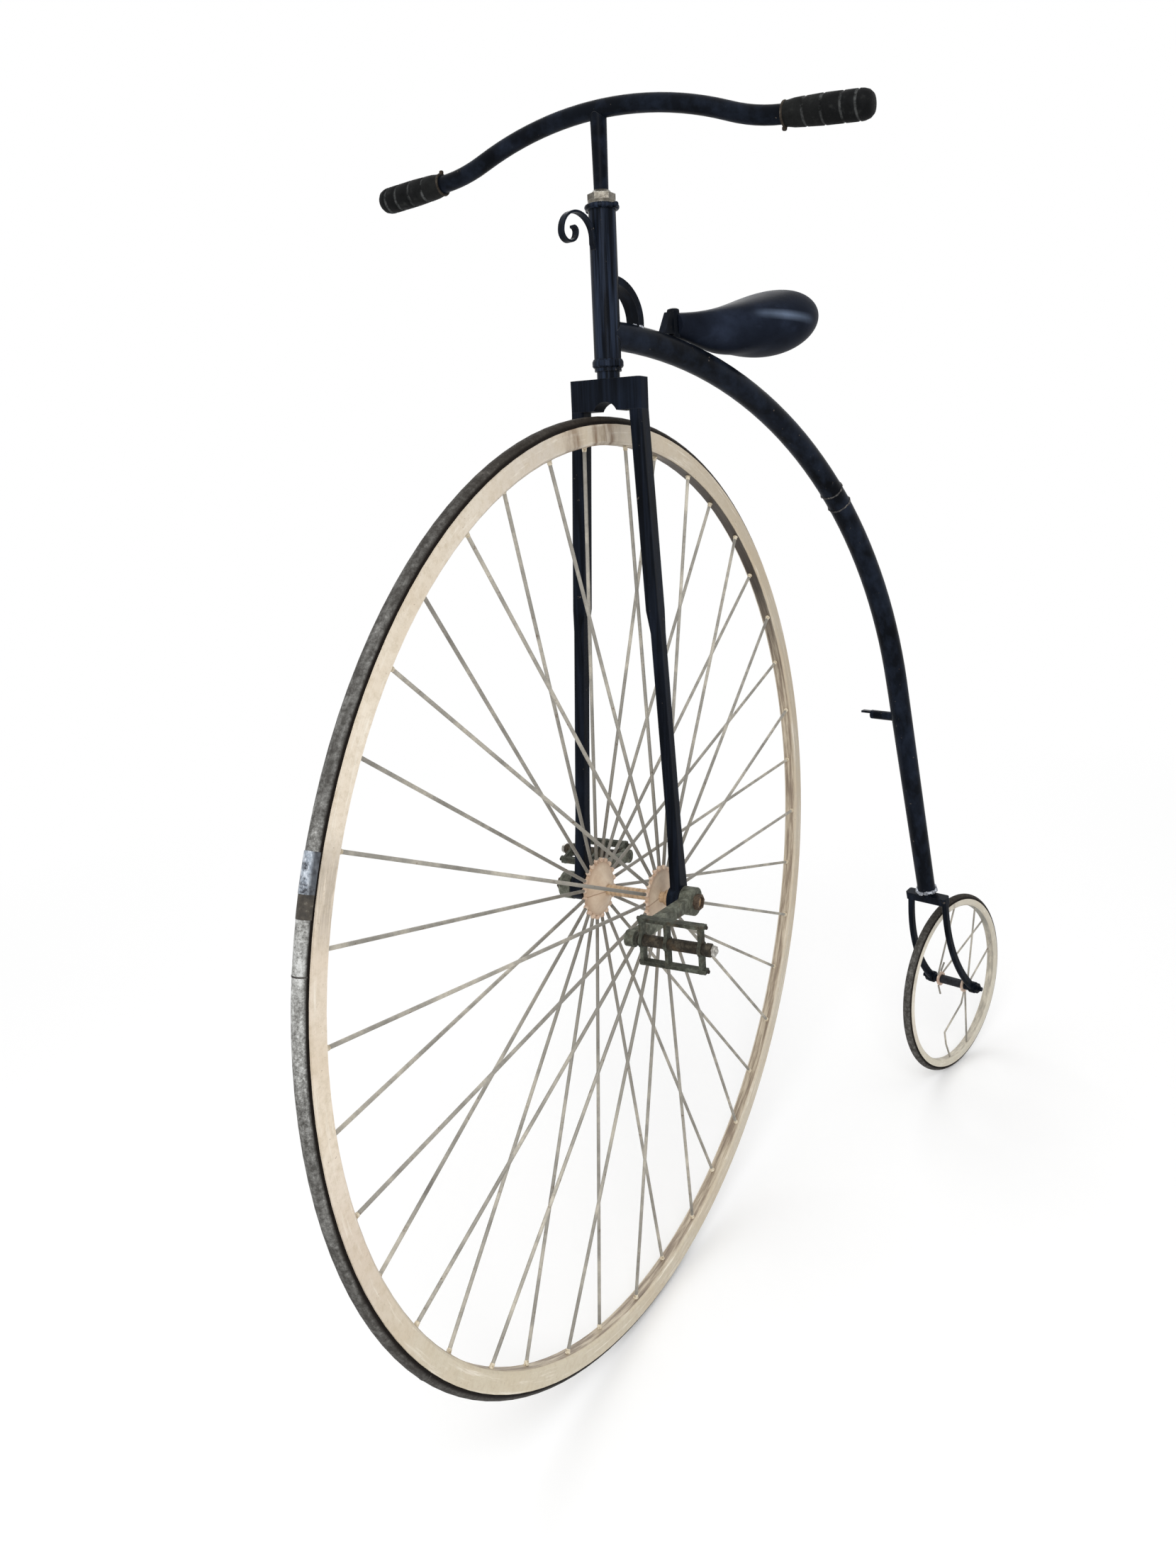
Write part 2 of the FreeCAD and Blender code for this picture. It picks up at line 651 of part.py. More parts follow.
def make_pedal(side_name, side, lean):
    """Pin, barrel and cage of one pedal; the pin stays in the crank and the rest turns on it."""
    x, z = pedal_place(side)
    pin = make_body(f"pedal_pin_{side_name}", x=x, z=z, steered=True)
    shoulder = f"{side} * (crank_arm_inset + crank_arm_thickness)"
    turned_about_y(pin, "outline", [
        (f"{side} * crank_arm_inset", "0"),
        (f"{side} * crank_arm_inset", "pin_radius"),
        (f"{shoulder}", "pin_radius"),
        (f"{shoulder}", "pin_radius + 3"),
        (f"{side} * ({PEDAL_INSET} - side_play)", "pin_radius + 3"),
        (f"{side} * ({PEDAL_INSET} - side_play)", "pin_radius"),
        (f"{side} * ({PEDAL_END} + pedal_cap_width / 3)", "pin_radius"),
        (f"{side} * ({PEDAL_END} + pedal_cap_width / 3)", "0"),
    ])
    barrel = make_body(f"pedal_barrel_{side_name}", x=x, z=z, lean=lean, steered=True)
    bore = "(pin_radius + running_fit)"
    turned_about_y(barrel, "outline", [
        (f"{side} * {PEDAL_INSET}", bore),
        (f"{side} * {PEDAL_INSET}", "pedal_barrel"),
        (f"{side} * {PEDAL_END}", "pedal_barrel"),
        (f"{side} * {PEDAL_END}", "pedal_cap_radius"),
        (f"{side} * ({PEDAL_END} + pedal_cap_width * 0.7)", "pedal_cap_radius"),
        (f"{side} * ({PEDAL_END} + pedal_cap_width)", "pedal_cap_radius * 0.6"),
        (f"{side} * ({PEDAL_END} + pedal_cap_width)", "0"),
        (f"{side} * ({PEDAL_END} + pedal_cap_width / 3 + side_play)", "0"),
        (f"{side} * ({PEDAL_END} + pedal_cap_width / 3 + side_play)", bore),
    ])
    cage = make_body(f"pedal_cage_{side_name}", x=x, z=z, lean=lean, steered=True)
    half = "pedal_height / 2"
    depth = "pedal_plate_depth / 2"
    # three upright plates, at the inner end, the middle and the outer end
    for count, share in enumerate(("0.03", "0.42", "0.94")):
        inset = f"({PEDAL_INSET} + {share} * (pedal_length - pedal_plate))"
        plate = new_sketch(cage, f"plate_{count}", "XZ_Plane", ("0", "0", f"-{side} * {inset}"))
        draw(plate, (f"-{depth}", f"-{half}"), [
            (depth, f"-{half}"),
            (depth, half),
            (f"-{depth}", half),
            (f"-{depth}", f"-{half}"),
        ])
        pad(cage, plate, "pedal_plate", backwards=side > 0)
        boss = new_sketch(cage, f"boss_{count}", "XZ_Plane", ("0", "0", f"-{side} * {inset}"))
        circle(boss, "0", "0", "pedal_barrel + 2.5")
        pad(cage, boss, "pedal_plate", backwards=side > 0)
    # two tread rails join the plates' ends
    for name, end in (("upper_rail", "1"), ("lower_rail", "-1")):
        rail = new_sketch(cage, name, "XZ_Plane", ("0", "0", f"-{side} * ({PEDAL_INSET} + 1)"))
        low = f"{end} * ({half} - pedal_rail / 2) - pedal_rail / 2"
        high = f"{end} * ({half} - pedal_rail / 2) + pedal_rail / 2"
        draw(rail, ("-pedal_rail_depth", low), [
            ("pedal_rail_depth", low),
            ("pedal_rail_depth", high),
            ("-pedal_rail_depth", high),
            ("-pedal_rail_depth", low),
        ])
        pad(cage, rail, "pedal_length - 2", backwards=side > 0)
    hole = circle(new_sketch(cage, "barrel_hole", "XZ_Plane"), "0", "0", "pedal_barrel + running_fit")
    pocket(cage, hole, f"2 * {PEDAL_END} + 10", both_ways=True)


# ---------------------------------------------------------------- fork, crown and steering

def make_fork_leg(side_name, side):
    """A round-cornered fork blade, thinner below its middle, with a round bearing at its foot."""
    body = make_body(f"fork_leg_{side_name}", lean="rake_angle", steered=True)
    foot = "(bearing_radius / 2)"
    levels = (
        ("top", CROWN_FOOT, "top"),
        ("upper", "leg_taper_top", "top"),
        ("lower", "leg_taper_foot", "foot"),
        ("ankle", "leg_heel_top", "foot"),
        ("foot", foot, "heel"),
    )
    sections = []
    for name, height, size in levels:
        # the outer face runs straight out and a little back, from the crown to the foot
        share = f"(({CROWN_FOOT} - {height}) / ({CROWN_FOOT} - {foot}))"
        face = f"({LEG_TOP_FACE} + {share} * ({LEG_FOOT_FACE} - {LEG_TOP_FACE}))"
        sketch = new_sketch(body, name, "XY_Plane", ("0", "0", height))
        sections.append(bar_section(sketch, f"{share} * leg_set_back", f"{side} * ({face} - leg_{size}_thickness / 2)",
                                    f"leg_{size}_depth", f"leg_{size}_thickness", "leg_corner"))
    loft(body, sections, straight=True)
    bearing = circle(new_sketch(body, "bearing", "XZ_Plane", ("0", "0", f"-{side} * bearing_inset")),
                     "0", "0", "bearing_radius")
    pad(body, bearing, "bearing_width", backwards=side > 0)
    bore = circle(new_sketch(body, "bore", "XZ_Plane"), "0", "0", "axle_radius + running_fit")
    pocket(body, bore, f"2 * {BEARING_END} + 20", both_ways=True)


def make_fork_crown():
    """A forged block over the tyre with rounded ends and a low arch filed in its foot."""
    body = make_body("fork_crown", lean="rake_angle", steered=True)
    plan = new_sketch(body, "plan", "XY_Plane", ("0", "0", CROWN_FOOT))
    pad(body, bar_section(plan, "0", "0", "crown_depth", "crown_width", "leg_corner"), "crown_height")
    arch = "((notch_width * notch_width / 4 + notch_height * notch_height) / (2 * notch_height))"
    notch = new_sketch(body, "arch", "YZ_Plane")
    draw(notch, ("-notch_width / 2", CROWN_FOOT), [
        ("notch_width / 2", CROWN_FOOT, arch, -1),
        ("-notch_width / 2", CROWN_FOOT),
    ])
    pocket(body, notch, "2 * crown_depth", both_ways=True)


def make_steerer():
    """Neck, lower bearing ring and the pivot that turns inside the head tube."""
    body = make_body("steerer", lean="rake_angle", steered=True)
    turned_about_z(body, "outline", [
        ("0", CROWN_TOP),
        ("neck_radius", CROWN_TOP),
        ("neck_radius", NECK_TOP),
        ("collar_radius", NECK_TOP),
        ("collar_radius", LOWER_RING_TOP),
        ("steerer_radius", LOWER_RING_TOP),
        ("steerer_radius", STEERER_TOP),
        ("0", STEERER_TOP),
    ])


def make_head_tube():
    """The head: a bored tube with a bearing ring turned on its foot."""
    body = make_body("head_tube", lean="rake_angle")
    bore = "(steerer_radius + running_fit)"
    ring_top = f"({HEAD_FOOT} + foot_ring_height)"
    turned_about_z(body, "outline", [
        (bore, HEAD_FOOT),
        ("foot_ring_radius - 1.5", HEAD_FOOT),
        ("foot_ring_radius", f"{HEAD_FOOT} + 2"),
        ("foot_ring_radius", f"{ring_top} - 3"),
        ("foot_ring_radius - 1.5", ring_top),
        ("head_radius", ring_top),
        ("head_radius", HEAD_TOP),
        (bore, HEAD_TOP),
    ])


def make_cap_ring():
    """A rounded dust ring pressed on top of the head tube."""
    body = make_body("head_cap_ring", lean="rake_angle")
    bore = "(steerer_radius + running_fit)"
    sketch = new_sketch(body, "outline", "XZ_Plane")
    edge = "(cap_ring_radius - cap_ring_height / 2)"
    draw(sketch, (bore, HEAD_TOP), [
        (edge, HEAD_TOP),
        (edge, CAP_TOP, "cap_ring_height / 2", 1),
        (bore, CAP_TOP),
        (bore, HEAD_TOP),
    ])
    revolve(body, sketch, "V_Axis")


def make_lock_nut():
    """The bare metal lock nut: a round flange, six flats and a coned top round the stem."""
    body = make_body("lock_nut", lean="rake_angle", steered=True)
    bore = "(steerer_radius + running_fit)"
    flange_top = f"({LOCK_FOOT} + lock_nut_height / 3)"
    turned_about_z(body, "flange", [
        (bore, LOCK_FOOT),
        ("lock_nut_radius", LOCK_FOOT),
        ("lock_nut_radius", flange_top),
        (bore, flange_top),
    ])
    flats = hexagon(new_sketch(body, "flats", "XY_Plane", ("0", "0", flange_top)), "lock_nut_radius * 1.74")
    circle(flats, "0", "0", bore)
    pad(body, flats, "lock_nut_height * 2 / 3")
    turned_about_z(body, "cone", [
        (bore, LOCK_TOP),
        ("lock_nut_radius * 0.82", LOCK_TOP),
        ("stem_foot_radius + 1.5", f"{LOCK_TOP} + lock_nut_cone"),
        ("stem_foot_radius + side_play", f"{LOCK_TOP} + lock_nut_cone"),
        ("stem_foot_radius + side_play", f"{LOCK_TOP} + lock_nut_cone / 4"),
        (bore, f"{LOCK_TOP} + lock_nut_cone / 4"),
    ])


def make_stem():
    """The slightly tapered post that carries the handlebar, coped to the bar."""
    body = make_body("handlebar_stem", lean="rake_angle", steered=True, off_square="bar_turn_angle")
    turned_about_z(body, "outline", [
        ("0", STEERER_TOP),
        ("stem_foot_radius", STEERER_TOP),
        ("stem_top_radius", BAR_HEIGHT),
        ("0", BAR_HEIGHT),
    ])
    cylinder(body, "bar_cope", "bar_radius + seat_gap", "4 * stem_top_radius",
             ("0", "-2 * stem_top_radius", BAR_HEIGHT), (ABOUT_X, "-90"), cut=True)


# The bar's corners from its middle outwards, as (across, down) formulas.
BAR_ARCH = ("bar_arch_radius * sin(bar_drop_angle)", "bar_arch_radius * (1 - cos(bar_drop_angle))")
BAR_RUN = (f"({BAR_ARCH[0]} + bar_run * cos(bar_drop_angle))", f"({BAR_ARCH[1]} + bar_run * sin(bar_drop_angle))")
GRIP_START = (f"({BAR_RUN[0]} + bar_sweep_radius * (sin(bar_drop_angle) - sin(grip_drop_angle)))",
              f"({BAR_RUN[1]} + bar_sweep_radius * (cos(grip_drop_angle) - cos(bar_drop_angle)))")
BAR_TAIL = "(grip_length - grip_radius)"
BAR_END = (f"({GRIP_START[0]} + {BAR_TAIL} * cos(grip_drop_angle))", f"({GRIP_START[1]} + {BAR_TAIL} * sin(grip_drop_angle))")


def make_handlebar():
    """One tube: arched over the stem, dropping to each side, nearly level at the grips."""
    body = make_body("handlebar", lean="rake_angle", steered=True, off_square="bar_turn_angle")
    path = new_sketch(body, "path", "YZ_Plane", ("0", BAR_HEIGHT, "0"))
    draw(path, (f"-{BAR_END[0]}", f"-{BAR_END[1]}"), [
        (f"-{GRIP_START[0]}", f"-{GRIP_START[1]}"),
        (f"-{BAR_RUN[0]}", f"-{BAR_RUN[1]}", "bar_sweep_radius", 1),
        (f"-{BAR_ARCH[0]}", f"-{BAR_ARCH[1]}"),
        (f"{BAR_ARCH[0]}", f"-{BAR_ARCH[1]}", "bar_arch_radius", -1),
        (f"{BAR_RUN[0]}", f"-{BAR_RUN[1]}"),
        (f"{GRIP_START[0]}", f"-{GRIP_START[1]}", "bar_sweep_radius", 1),
        (f"{BAR_END[0]}", f"-{BAR_END[1]}"),
    ], closed=False)
    profile = new_sketch(body, "tube", "XZ_Plane",
                         ("0", f"{BAR_HEIGHT} - {BAR_END[1]}", f"{BAR_END[0]}"),
                         (ABOUT_X, "grip_drop_angle"))
    circle(profile, "0", "0", "bar_radius")
    sweep(body, profile, path, 7)


def make_grip(side_name, side):
    """A barrel-shaped grip with turned rings, pushed over the end of the bar."""
    body = make_body(f"grip_{side_name}", lean="rake_angle", steered=True, off_square="bar_turn_angle")
    sketch = new_sketch(body, "outline", "YZ_Plane",
                        (f"{side} * {GRIP_START[0]}", f"{BAR_HEIGHT} - {GRIP_START[1]}", "0"),
                        (Vector(0, 0, 1), f"-{side} * grip_drop_angle"))
    bore = "(bar_radius + running_fit)"
    wall = "(bar_radius + grip_wall)"
    draw(sketch, (f"{side} * 2", bore), [
        (f"{side} * 2", wall),
        (f"{side} * grip_length * 0.18", "grip_radius - 1"),
        (f"{side} * grip_length * 0.45", "grip_radius"),
        (f"{side} * grip_length * 0.75", "grip_radius"),
        (f"{side} * (grip_length - grip_radius * 0.4)", "grip_radius - 1.5"),
        (f"{side} * grip_length", "grip_radius * 0.62"),
        (f"{side} * grip_length", "0"),
        (f"{side} * ({BAR_TAIL} + seat_gap)", "0"),
        (f"{side} * ({BAR_TAIL} + seat_gap)", bore),
        (f"{side} * 2", bore),
    ])
    revolve(body, sketch, "H_Axis")


# ---------------------------------------------------------------- head ornament and brace

# The scroll's middle line goes round in quarter turns, each one's radius a size of its own.
SCROLL_TURNS = ("scroll_turn_one", "scroll_turn_two", "scroll_turn_three", "scroll_turn_four",
                "scroll_turn_five")


def make_scroll():
    """A flat strip brazed up the front of the head and rolled forward into a spiral."""
    body = make_body("head_scroll", lean="rake_angle")
    inner, outer = [], []
    half = "scroll_strip / 2"
    x = f"(-head_radius - seat_gap - {half})"
    z = f"({HEAD_TOP} - scroll_root)"
    root_x, root_z = x, z
    heading = 0
    away = ((1, 0), (0, 1), (-1, 0), (0, -1))
    for radius in SCROLL_TURNS:
        out_x, out_z = away[heading % 4]
        next_x, next_z = away[(heading + 1) % 4]
        x = f"({x} + {next_x - out_x} * {radius})"
        z = f"({z} + {next_z - out_z} * {radius})"
        outer.append((f"{x} + {next_x} * {half}", f"{z} + {next_z} * {half}", f"{radius} + {half}", 1))
        inner.append((f"{x} - {next_x} * {half}", f"{z} - {next_z} * {half}", f"{radius} - {half}"))
        heading += 1
    sketch = new_sketch(body, "strip", "XZ_Plane")
    foot = f"{root_z} - scroll_tail"
    steps = [(f"{root_x} + {half}", root_z)]
    steps += outer
    steps.append(inner[-1][:2])
    back = [(f"{root_x} - {half}", root_z)] + [point[:2] for point in inner[:-1]]
    for point, turn in zip(reversed(back), reversed(inner)):
        steps.append((point[0], point[1], turn[2], -1))
    steps.append((f"{root_x} - {half}", f"{foot} + scroll_tail / 2"))
    steps.append((f"{root_x} + {half}", foot))
    draw(sketch, (f"{root_x} + {half}", foot), steps)
    pad(body, sketch, "scroll_width", both_ways=True)
    cylinder(body, "head_cope", "head_radius + seat_gap", HEAD_TOP, cut=True)


def make_brace():
    """A curved flat brace from the back of the head down onto the backbone."""
    body = make_body("head_brace")
    sketch = new_sketch(body, "strip", "XZ_Plane", ("brace_ahead", f"{CREST} + brace_up", "0"))
    outer = "(brace_radius + brace_thickness / 2)"
    inner = "(brace_radius - brace_thickness / 2)"
    draw(sketch, ("0", outer), [
        (f"{outer} * cos(15)", f"-{outer} * sin(15)", outer, -1),
        (f"{inner} * cos(15)", f"-{inner} * sin(15)"),
        ("0", inner, inner, 1),
        ("0", outer),
    ])
    pad(body, sketch, "brace_width", both_ways=True)
    cut_head(body)
    cut_spine(body)


# ---------------------------------------------------------------- backbone and saddle

def make_backbone():
    """One tube, bent round the driving wheel and then tapering straight to the rear fork."""
    body = make_body("backbone")
    ring = new_sketch(body, "bend", "YZ_Plane", ("0", SPINE_UP, "spine_ahead"),
                      (ABOUT_X, "90 - spine_start_angle"))
    circle(ring, "0", SPINE_RADIUS, "spine_tube")
    revolve(body, ring, "H_Axis", "spine_start_angle - spine_end_angle")
    foot = body.newObject("PartDesign::AdditiveCone", "backbone_foot")
    foot.Placement = Placement(Vector(), Rotation(ABOUT_Y, 1))
    foot.setExpression("Radius1", named("spine_tube"))
    foot.setExpression("Radius2", named("spine_foot_tube"))
    foot.setExpression("Height", named(SPINE_RUN))
    foot.setExpression("Placement.Base.x", named(SPINE_TOP_X))
    foot.setExpression("Placement.Base.z", named(SPINE_TOP_Z))
    foot.setExpression("Placement.Rotation.Angle", named("180 - spine_end_angle"))
    cut_head(body)


def make_step_peg():
    """The mounting step: a round peg on the right of the backbone with a thin tongue."""
    body = make_body("step_peg")
    x = f"{SPINE_TOP_X} + peg_drop * sin(spine_end_angle)"
    z = f"{SPINE_TOP_Z} - peg_drop * cos(spine_end_angle)"
    cylinder(body, "peg", "peg_radius", "spine_tube + peg_length", (x, "0", z), (ABOUT_X, "-90"))
    tongue = new_sketch(body, "tongue", "XZ_Plane", (x, z, "-(spine_tube + peg_length)"))
    draw(tongue, ("-peg_radius * 0.6", "peg_radius * 0.3"), [
        ("peg_radius * 0.6", "peg_radius * 0.3"),
        ("peg_radius * 0.6", "peg_radius * 0.75"),
        ("-peg_radius * 0.6", "peg_radius * 0.75"),
        ("-peg_radius * 0.6", "peg_radius * 0.3"),
    ])
    pad(body, tongue, "peg_tongue", backwards=True)
    # coped to the tapered tube
    cope = body.newObject("PartDesign::SubtractiveCone", "step_peg_cope")
    cope.Placement = Placement(Vector(), Rotation(ABOUT_Y, 1))
    cope.setExpression("Radius1", named("spine_tube + seat_gap"))
    cope.setExpression("Radius2", named("spine_foot_tube + seat_gap"))
    cope.setExpression("Height", named(SPINE_RUN))
    cope.setExpression("Placement.Base.x", named(SPINE_TOP_X))
    cope.setExpression("Placement.Base.z", named(SPINE_TOP_Z))
    cope.setExpression("Placement.Rotation.Angle", named("180 - spine_end_angle"))


def make_saddle():
    """A moulded pear-shaped saddle, hollowed underneath for the backbone and in front for its post."""
    body = make_body("saddle")
    sections = []
    for letter, *sizes in SADDLE_SECTIONS:
        own = f"saddle_{letter}"
        sketch = new_sketch(body, f"section_{letter}", "YZ_Plane", ("0", "0", f"saddle_nose + {own}_behind"))
        sections.append(oval(sketch, f"{own}_half_width", f"{CREST} + {own}_top", f"{CREST} + {own}_foot"))
    loft(body, sections)
    cut_spine(body)
    cylinder(body, "post_cope", "post_radius + seat_gap", AXLE_BELOW, ("saddle_nose", "0", "0"), cut=True)


def make_saddle_bracket():
    """The lug and round post on the backbone that the saddle's nose is bolted to."""
    body = make_body("saddle_bracket")
    post_top = f"({CREST} + bracket_top)"
    post = circle(new_sketch(body, "post", "XY_Plane", ("0", "0", post_top)), "saddle_nose", "0", "post_radius")
    pad(body, post, "bracket_top + spine_tube", backwards=True)
    lug = new_sketch(body, "lug", "XZ_Plane")
    draw(lug, ("saddle_nose - bracket_reach", CREST), [
        ("saddle_nose", CREST),
        ("saddle_nose", f"{post_top} - 2"),
        ("saddle_nose - post_radius - 3", f"{post_top} - 2"),
        ("saddle_nose - bracket_reach", CREST),
    ])
    pad(body, lug, "bracket_width", both_ways=True)
    cut_spine(body)
    hole = circle(new_sketch(body, "bolt_hole", "XY_Plane", ("0", "0", post_top)), "saddle_nose", "0",
                  "saddle_bolt_radius + running_fit")
    pocket(body, hole, "bracket_top / 2")


def make_saddle_bolt():
    """A domed bolt down into the post."""
    body = make_body("saddle_bolt", x="saddle_nose")
    post_top = f"({CREST} + bracket_top)"
    turned_about_z(body, "outline", [
        ("0", f"{post_top} - bracket_top / 2 + 1"),
        ("saddle_bolt_radius", f"{post_top} - bracket_top / 2 + 1"),
        ("saddle_bolt_radius", post_top),
        ("post_radius", post_top),
        ("post_radius * 0.9", f"{post_top} + saddle_bolt_head * 0.6"),
        ("post_radius * 0.55", f"{post_top} + saddle_bolt_head"),
        ("0", f"{post_top} + saddle_bolt_head"),
    ])


# ---------------------------------------------------------------- rear fork and wheel

def make_rear_crown():
    """A flat forged plate across the foot of the backbone."""
    body = make_body("rear_crown", x=SPINE_FOOT_X, z=SPINE_FOOT_Z, lean="-spine_end_angle")
    neck = circle(new_sketch(body, "neck", "XY_Plane"), "0", "0", "rear_neck_radius")
    pad(body, neck, "rear_neck_height + 1", backwards=True)
    half_y = "rear_crown_width / 2"
    half_x = "rear_crown_depth / 2"
    nose = "4"
    sketch = new_sketch(body, "plate", "XY_Plane", ("0", "0", "-rear_neck_height"))
    draw(sketch, (f"-{half_x} + {nose}", f"-{half_y}"), [
        (f"{half_x} - {nose}", f"-{half_y}"),
        (half_x, f"-{half_y} + {nose}", nose, 1),
        (half_x, f"{half_y} - {nose}"),
        (f"{half_x} - {nose}", half_y, nose, 1),
        (f"-{half_x} + {nose}", half_y),
        (f"-{half_x}", f"{half_y} - {nose}", nose, 1),
        (f"-{half_x}", f"-{half_y} + {nose}"),
        (f"-{half_x} + {nose}", f"-{half_y}", nose, 1),
    ])
    pad(body, sketch, "rear_crown_height", backwards=True)


# From the front axle to the legs' tops, on the underside of the rear crown.
REAR_TOP_X = f"({SPINE_FOOT_X} + (rear_neck_height + rear_crown_height) * sin(spine_end_angle))"
REAR_TOP_Z = f"({SPINE_FOOT_Z} - (rear_neck_height + rear_crown_height) * cos(spine_end_angle))"


def make_rear_leg(side_name, side):
    """A flat blade that drops from the crown and curves back to an eye on the rear axle."""
    body = make_body(f"rear_leg_{side_name}", x=REAR_TOP_X, z=REAR_TOP_Z)
    drop = f"({REAR_TOP_Z} - {REAR_UP})"
    splay = f"(atan((rear_eye_inset + rear_eye_width / 2 - rear_leg_half_gap) / {drop}) / 1 deg)"
    back = f"({REAR_BEHIND} - {REAR_TOP_X})"
    down = f"({drop} / cos({splay}))"
    # a short straight run, then one bend that ends on the axle
    bend_x = "(rear_leg_run * sin(rear_leg_start_angle))"
    bend_z = "(rear_leg_run * cos(rear_leg_start_angle))"
    chord_angle = f"(atan(({back} - {bend_x}) / ({down} - {bend_z})) / 1 deg)"
    chord = f"(({down} - {bend_z}) / cos({chord_angle}))"
    bend = f"({chord} / (2 * sin({chord_angle} - rear_leg_start_angle)))"
    path = new_sketch(body, "path", "XZ_Plane", ("0", "0", f"-{side} * rear_leg_half_gap"),
                      (ABOUT_X, f"{side} * {splay}"))
    draw(path, ("0", "0"), [
        (bend_x, f"-{bend_z}"),
        (back, f"-{down}", bend, 1),
    ], closed=False)
    profile = slot(new_sketch(body, "blade", "XY_Plane", ("0", f"{side} * rear_leg_half_gap", "0"),
                              (ABOUT_Y, "-rear_leg_start_angle")),
                   "0", "0", "rear_leg_depth", "rear_leg_thickness")
    sweep(body, profile, path, 2)
    # the blade's top is trimmed to the crown's underside
    trim = new_sketch(body, "trim", "XZ_Plane", turn=(Vector(0, 0, 1), "spine_end_angle"))
    draw(trim, ("-rear_leg_depth", "0"), [
        ("rear_leg_depth", "0"),
        ("rear_leg_depth", "rear_leg_depth"),
        ("-rear_leg_depth", "rear_leg_depth"),
        ("-rear_leg_depth", "0"),
    ])
    pocket(body, trim, "4 * rear_crown_width", both_ways=True)
    eye_z = f"({REAR_UP} - {REAR_TOP_Z})"
    eye = circle(new_sketch(body, "eye", "XZ_Plane", ("0", "0", f"-{side} * rear_eye_inset")),
                 back, eye_z, "rear_eye_radius")
    pad(body, eye, "rear_eye_width", backwards=side > 0)
    bore = circle(new_sketch(body, "bore", "XZ_Plane"), back, eye_z, "rear_axle_radius + running_fit")
    pocket(body, bore, "4 * rear_crown_width", both_ways=True)


REAR_PLACE = {"x": REAR_BEHIND, "z": REAR_UP}


def make_rear_axle():
    """A fixed spindle with a collar inside each fork eye and a turned-down tip beyond each nut."""
    body = make_body("rear_axle", **REAR_PLACE)
    collar = "(rear_hub_half_width + rear_flange_width / 2 + rear_collar_gap)"
    eye = "(rear_eye_inset - seat_gap)"
    tip = "(rear_axle_end - rear_axle_tip)"
    turned_about_y(body, "outline", [
        ("-rear_axle_end", "0"),
        ("-rear_axle_end", "rear_axle_tip_radius"),
        (f"-{tip}", "rear_axle_tip_radius"),
        (f"-{tip}", "rear_axle_radius"),
        (f"-{eye}", "rear_axle_radius"),
        (f"-{eye}", "rear_hub_radius"),
        (f"-{collar}", "rear_hub_radius"),
        (f"-{collar}", "rear_axle_radius"),
        (f"{collar}", "rear_axle_radius"),
        (f"{collar}", "rear_hub_radius"),
        (f"{eye}", "rear_hub_radius"),
        (f"{eye}", "rear_axle_radius"),
        (tip, "rear_axle_radius"),
        (tip, "rear_axle_tip_radius"),
        ("rear_axle_end", "rear_axle_tip_radius"),
        ("rear_axle_end", "0"),
    ])


def make_rear_hub():
    """A turned barrel with a thin flange at each end, running on the rear axle."""
    body = make_body("rear_hub", **REAR_PLACE)
    bore = "(rear_axle_radius + running_fit)"
    inner = "(rear_hub_half_width - rear_flange_width / 2)"
    outer = "(rear_hub_half_width + rear_flange_width / 2)"
    turned_about_y(body, "outline", [
        (f"-{outer}", bore),
        (f"-{outer}", "rear_flange_radius"),
        (f"-{inner}", "rear_flange_radius"),
        (f"-{inner}", "rear_hub_radius"),
        (inner, "rear_hub_radius"),
        (inner, "rear_flange_radius"),
        (outer, "rear_flange_radius"),
        (outer, bore),
    ])


# The wires that are left in the rear wheel, each from one of the hub's flanges. A wire is a
# run of points: its share of the way out to the rim, and its angle from straight ahead, going
# up and over. One is bent, two are broken off short, and the rest are missing.
REAR_WIRES = (
    ("right", ((0, 50.0), (1, 97.5))),
    ("left", ((0, 152.0), (1, 124.0))),
    ("right", ((0, 134.0), (1, 146.7))),
    ("left", ((0, 193.0), (1, 169.0))),
    ("left", ((0, 262.0), (1, 253.0))),
    ("left", ((0, 284.0), (0.17, 280.0), (0.61, 303.5), (0.77, 291.5), (1, 278.0))),
    ("right", ((0, 95.0), (0.13, 106.0))),
    ("right", ((0, 310.0), (0.11, 284.0))),
)


def make_rear_spokes():
    """The few wires left between the rear hub's flanges and the rim."""
    body = make_body("rear_spokes", **REAR_PLACE)
    first = value("rear_flange_radius + rear_wire_gap")
    last = value(f"{REAR_RIM_FOOT} - seat_gap")
    flange = value("rear_hub_half_width")
    beside = value("rear_spoke_section")
    for count, (side_name, route) in enumerate(REAR_WIRES):
        side = dict(SIDES)[side_name]
        points = []
        for share, angle in route:
            out = first + share * (last - first)
            across = side * (flange + share * (beside - flange))
            turn = math.radians(angle)
            points.append(Vector(-out * math.cos(turn), across, out * math.sin(turn)))
        for bend, (a, b) in enumerate(zip(points, points[1:])):
            wire = body.newObject("PartDesign::AdditiveCylinder", f"rear_wire_{count}_{bend}")
            wire.Height = (b - a).Length
            wire.setExpression("Radius", named("rear_spoke_section / 2"))
            wire.Placement = Placement(a, Rotation(Vector(0, 0, 1), b - a))
        for bend, corner in enumerate(points[1:-1]):
            ball = body.newObject("PartDesign::AdditiveSphere", f"rear_wire_{count}_corner_{bend}")
            ball.setExpression("Radius", named("rear_spoke_section / 2"))
            ball.Placement = Placement(corner, Rotation())


# ---------------------------------------------------------------- the whole bicycle

make_tyre("front_tyre", "wheel_radius", "tyre_section", steered=True)
make_rim("front_rim", RIM_TOP, RIM_FOOT, "rim_width", "tyre_section", "(wheel_radius - tyre_section / 2)",
         steered=True)
